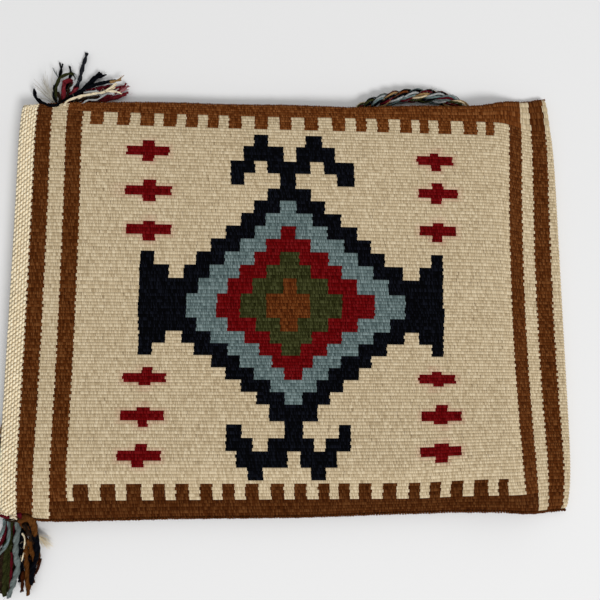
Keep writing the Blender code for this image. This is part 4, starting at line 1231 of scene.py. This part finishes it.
def weft_weave():
    """Beads of weft packed side by side over each rib, heathered, with shaded gaps."""
    net, given, out = new_group("weft_weave", {"Heather": 0.5, "Specks": 0.0, "Dye": 0.0})
    where = net.node("Attribute", attribute_name="weave").outputs["Vector"]
    split = net.node("SeparateXYZ", where).outputs
    rib = net.calc("FLOOR", split[2])
    f = net.calc("SUBTRACT", split[2], rib)
    odd = net.calc("MODULO", rib, 2.0)
    lean = net.calc("MULTIPLY", net.calc("SUBTRACT", f, 0.5), 0.55)
    strayed = net.noise(net.vector(net.calc("MULTIPLY", split[0], 0.16), rib, 3.0), 1.0, 1.0)
    along = net.calc("MULTIPLY_ADD", strayed, 2.4, net.calc("DIVIDE", split[0], BEAD))
    along = net.calc("ADD", net.calc("MULTIPLY_ADD", odd, 0.5, along), lean)
    bead = net.calc("FLOOR", along)
    g = net.calc("SUBTRACT", along, bead)
    cell = net.vector(rib, bead, 0.5)
    chance = net.node("TexWhiteNoise", cell, noise_dimensions="3D").outputs
    other = net.node("TexWhiteNoise", net.vector(bead, rib, 7.5), noise_dimensions="3D").outputs

    def hump(value, power):
        away = net.calc("ABSOLUTE", net.calc("MULTIPLY_ADD", value, 2.0, -1.0))
        return net.calc("SUBTRACT", 1.0, net.calc("POWER", away, power))

    across = hump(f, 2.6)
    rounded = hump(g, 3.0)
    height = net.calc("MULTIPLY", across, net.calc("MULTIPLY_ADD", rounded, 0.62, 0.38))
    thread = net.vector(net.calc("MULTIPLY", along, 3.3), net.calc("MULTIPLY", split[2], 1.1), rib)
    fibre = net.noise(thread, 1.9, 4.0)
    cloud = net.noise(where, 0.035, 2.0)
    tone = net.calc("MULTIPLY_ADD", chance[0], 0.74, net.calc("MULTIPLY", fibre, 0.26))
    tone = net.calc("MULTIPLY_ADD", net.calc("SUBTRACT", cloud, 0.5), 0.14, tone)
    tone = net.calc("MULTIPLY_ADD", net.calc("SUBTRACT", odd, 0.5), 0.10, tone)
    lift = net.calc("MULTIPLY", net.between(tone, 0.48, 0.92), given["Heather"])
    sink = net.calc("MULTIPLY", net.between(tone, 0.46, 0.10), given["Heather"])
    colour = net.mix(lift, given["Middle"], given["Light"])
    colour = net.mix(sink, colour, given["Dark"])
    speck = net.calc("GREATER_THAN", other[0], 0.9925)
    speck = net.calc("MULTIPLY", net.calc("MULTIPLY", speck, given["Specks"]), fibre)
    colour = net.mix(speck, colour, SPECK)
    dye = net.node("Attribute", attribute_name="blush").outputs["Fac"]
    dye = net.calc("MULTIPLY", dye, given["Dye"])
    dye = net.calc("MULTIPLY", dye, net.between(fibre, 0.2, 0.7))
    colour = net.mix(dye, colour, RUN_DYE)
    # The colour is darkened in each rib's valleys and in the gaps between beads: painted shade.
    shade = net.between(across, 0.0, 0.8, 0.74, 1.0)
    shade = net.calc("MULTIPLY", shade, net.between(rounded, 0.0, 0.8, 0.86, 1.0))
    shaded = net.mix(1.0, colour, net.vector(shade, shade, shade), "MULTIPLY")
    net.feed(out["Color"], shaded)
    net.feed(out["Height"], net.calc("MULTIPLY_ADD", fibre, 0.22, height))
    return net.tree


def spun_wool():
    """Fibres lying along a twisted yarn, some paler and some darker."""
    net, given, out = new_group("spun_wool", {"Heather": 0.6})
    where = net.node("Attribute", attribute_name="spun").outputs["Vector"]
    split = net.node("SeparateXYZ", where).outputs
    streak = net.vector(
        net.calc("MULTIPLY", split[0], 0.55),
        net.calc("MULTIPLY", split[1], 1.5),
        net.calc("MULTIPLY", split[2], 1.5),
    )
    long = net.noise(streak, 1.0, 3.0)
    fine = net.noise(streak, 4.2, 3.0)
    tone = net.calc("MULTIPLY_ADD", long, 0.6, net.calc("MULTIPLY", fine, 0.4))
    lift = net.calc("MULTIPLY", net.between(tone, 0.48, 0.68), given["Heather"])
    sink = net.calc("MULTIPLY", net.between(tone, 0.46, 0.30), given["Heather"])
    colour = net.mix(lift, given["Middle"], given["Light"])
    net.feed(out["Color"], net.mix(sink, colour, given["Dark"]))
    net.feed(out["Height"], tone)
    return net.tree


def finish_with(name, group, colour, values, depth):
    """A matt wool made with one of the groups."""
    made = bpy.data.materials.get(name)
    if made:
        return made
    made = bpy.data.materials.new(name)
    made.use_nodes = True
    net = Net(made.node_tree)
    shader = made.node_tree.nodes["Principled BSDF"]
    placed = net.node("Group", node_tree=group)
    for socket, tone in zip(("Middle", "Light", "Dark"), WOOL[colour]):
        placed.inputs[socket].default_value = (*tone, 1.0)
    for socket, value in values.items():
        placed.inputs[socket].default_value = value
    bump = net.node("Bump")
    bump.inputs["Strength"].default_value = BUMP_STRENGTH
    bump.inputs["Distance"].default_value = depth
    net.feed(bump.inputs["Height"], placed.outputs["Height"])
    net.feed(shader.inputs["Normal"], bump.outputs[0])
    net.feed(shader.inputs["Base Color"], placed.outputs["Color"])
    shader.inputs["Roughness"].default_value = ROUGHNESS
    shader.inputs["Specular IOR Level"].default_value = SHINE
    return made


def woven_finish(colour):
    values = {"Heather": 0.85}
    if colour == "cream":
        values = {"Heather": 0.70, "Specks": 1.0, "Dye": 0.45}
    return finish_with(f"woven_{colour}", WEAVE, colour, values, WEAVE_RELIEF)


def yarn_finish(colour):
    return finish_with(f"yarn_{colour}", SPUN, colour, {"Heather": 0.9}, YARN_RELIEF)


# The picture: camera, floor and light

CAMERA_PLACE, CAMERA_TURN = (0.00554, -0.06379, 0.4152), (8.58, -0.09, -0.36)
FLOOR_TONE = (0.83, 0.83, 0.83, 1.0)
WORLD_SHARE = 0.56  # of the light on the floor, with the rest from the lamp
LAMP_TOWARDS, LAMP_REACH, LAMP_WIDTH = (0.60, -0.90, 1.0), 4.5, 1.2


def photo_camera():
    data = bpy.data.cameras.new("camera")
    data.lens, data.sensor_width = 36.0, 36.0
    made = bpy.data.objects.new("camera", data)
    made.location = CAMERA_PLACE
    made.rotation_euler = [math.radians(turn) for turn in CAMERA_TURN]
    bpy.context.scene.collection.objects.link(made)
    bpy.context.scene.camera = made


def floor():
    bpy.ops.mesh.primitive_plane_add(size=8.0, location=(0.0, 0.0, -0.0002))
    made = bpy.context.object
    made.name = "pale_floor"
    paint = bpy.data.materials.new("pale_floor")
    paint.use_nodes = True
    shader = paint.node_tree.nodes["Principled BSDF"]
    shader.inputs["Base Color"].default_value = FLOOR_TONE
    shader.inputs["Roughness"].default_value = 1.0
    shader.inputs["Specular IOR Level"].default_value = 0.0
    made.data.materials.append(paint)


def lighting():
    world = bpy.data.worlds.new("room")
    bpy.context.scene.world = world
    world.use_nodes = True
    sky = world.node_tree.nodes["Background"]
    sky.inputs["Color"].default_value = (1.0, 1.0, 1.0, 1.0)
    sky.inputs["Strength"].default_value = WORLD_SHARE
    towards = Vector(LAMP_TOWARDS).normalized()
    data = bpy.data.lights.new("soft_lamp", "AREA")
    data.shape, data.size = "DISK", LAMP_WIDTH
    data.energy = (1 - WORLD_SHARE) * math.pi ** 2 * LAMP_REACH ** 2 / towards.z
    lamp = bpy.data.objects.new("soft_lamp", data)
    lamp.location = towards * LAMP_REACH
    lamp.rotation_euler = towards.to_track_quat("Z", "Y").to_euler()
    bpy.context.scene.collection.objects.link(lamp)


def settle(piece, finish_slot, *nodes):
    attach(piece, "root")
    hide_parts(*nodes)
    return piece


bpy.context.scene.view_settings.view_transform = "Standard"
photo_camera()
WEAVE, SPUN = weft_weave(), spun_wool()

rope, rope_path = strap()
settle(rope, "rope_wool", "strap_rope")
upper_wrap = rope_wrap("upper_wrap", UPPER_BINDING, 1, ("red", "red", "navy"))
lower_wrap = rope_wrap("lower_wrap", LOWER_BINDING, -1, ("red", "cream", "red"))
settle(upper_wrap, "binding_wool", "upper_binding")
settle(lower_wrap, "binding_wool", "lower_binding")
upper_tassel = tassel("upper_tassel", UPPER_BINDING, 1, UPPER_YARNS, UPPER_LOOSE, UPPER_WISPS)
lower_tassel = tassel("lower_tassel", LOWER_BINDING, -1, LOWER_YARNS, LOWER_LOOSE, LOWER_WISPS)
settle(upper_tassel, "navy_wool", *(f"upper_yarn_{name}" for name in UPPER_YARNS))
settle(lower_tassel, "navy_wool", *(f"lower_yarn_{name}" for name in LOWER_YARNS))

tapestry = settle(woven_cloth(), "tapestry_wool", "woven_body")
upper_hem = mouth_hem("upper_mouth_hem", 0)
lower_hem = mouth_hem("lower_mouth_hem", 1)
for hem in (upper_hem, lower_hem):
    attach(hem, "root")
upper_seam = settle(side_seam("upper_seam", UPPER_EDGE, 1), "brown_wool", "upper_side_seam")
lower_seam = settle(side_seam("lower_seam", LOWER_EDGE, -1), "brown_wool", "lower_side_seam")

floor()
lighting()
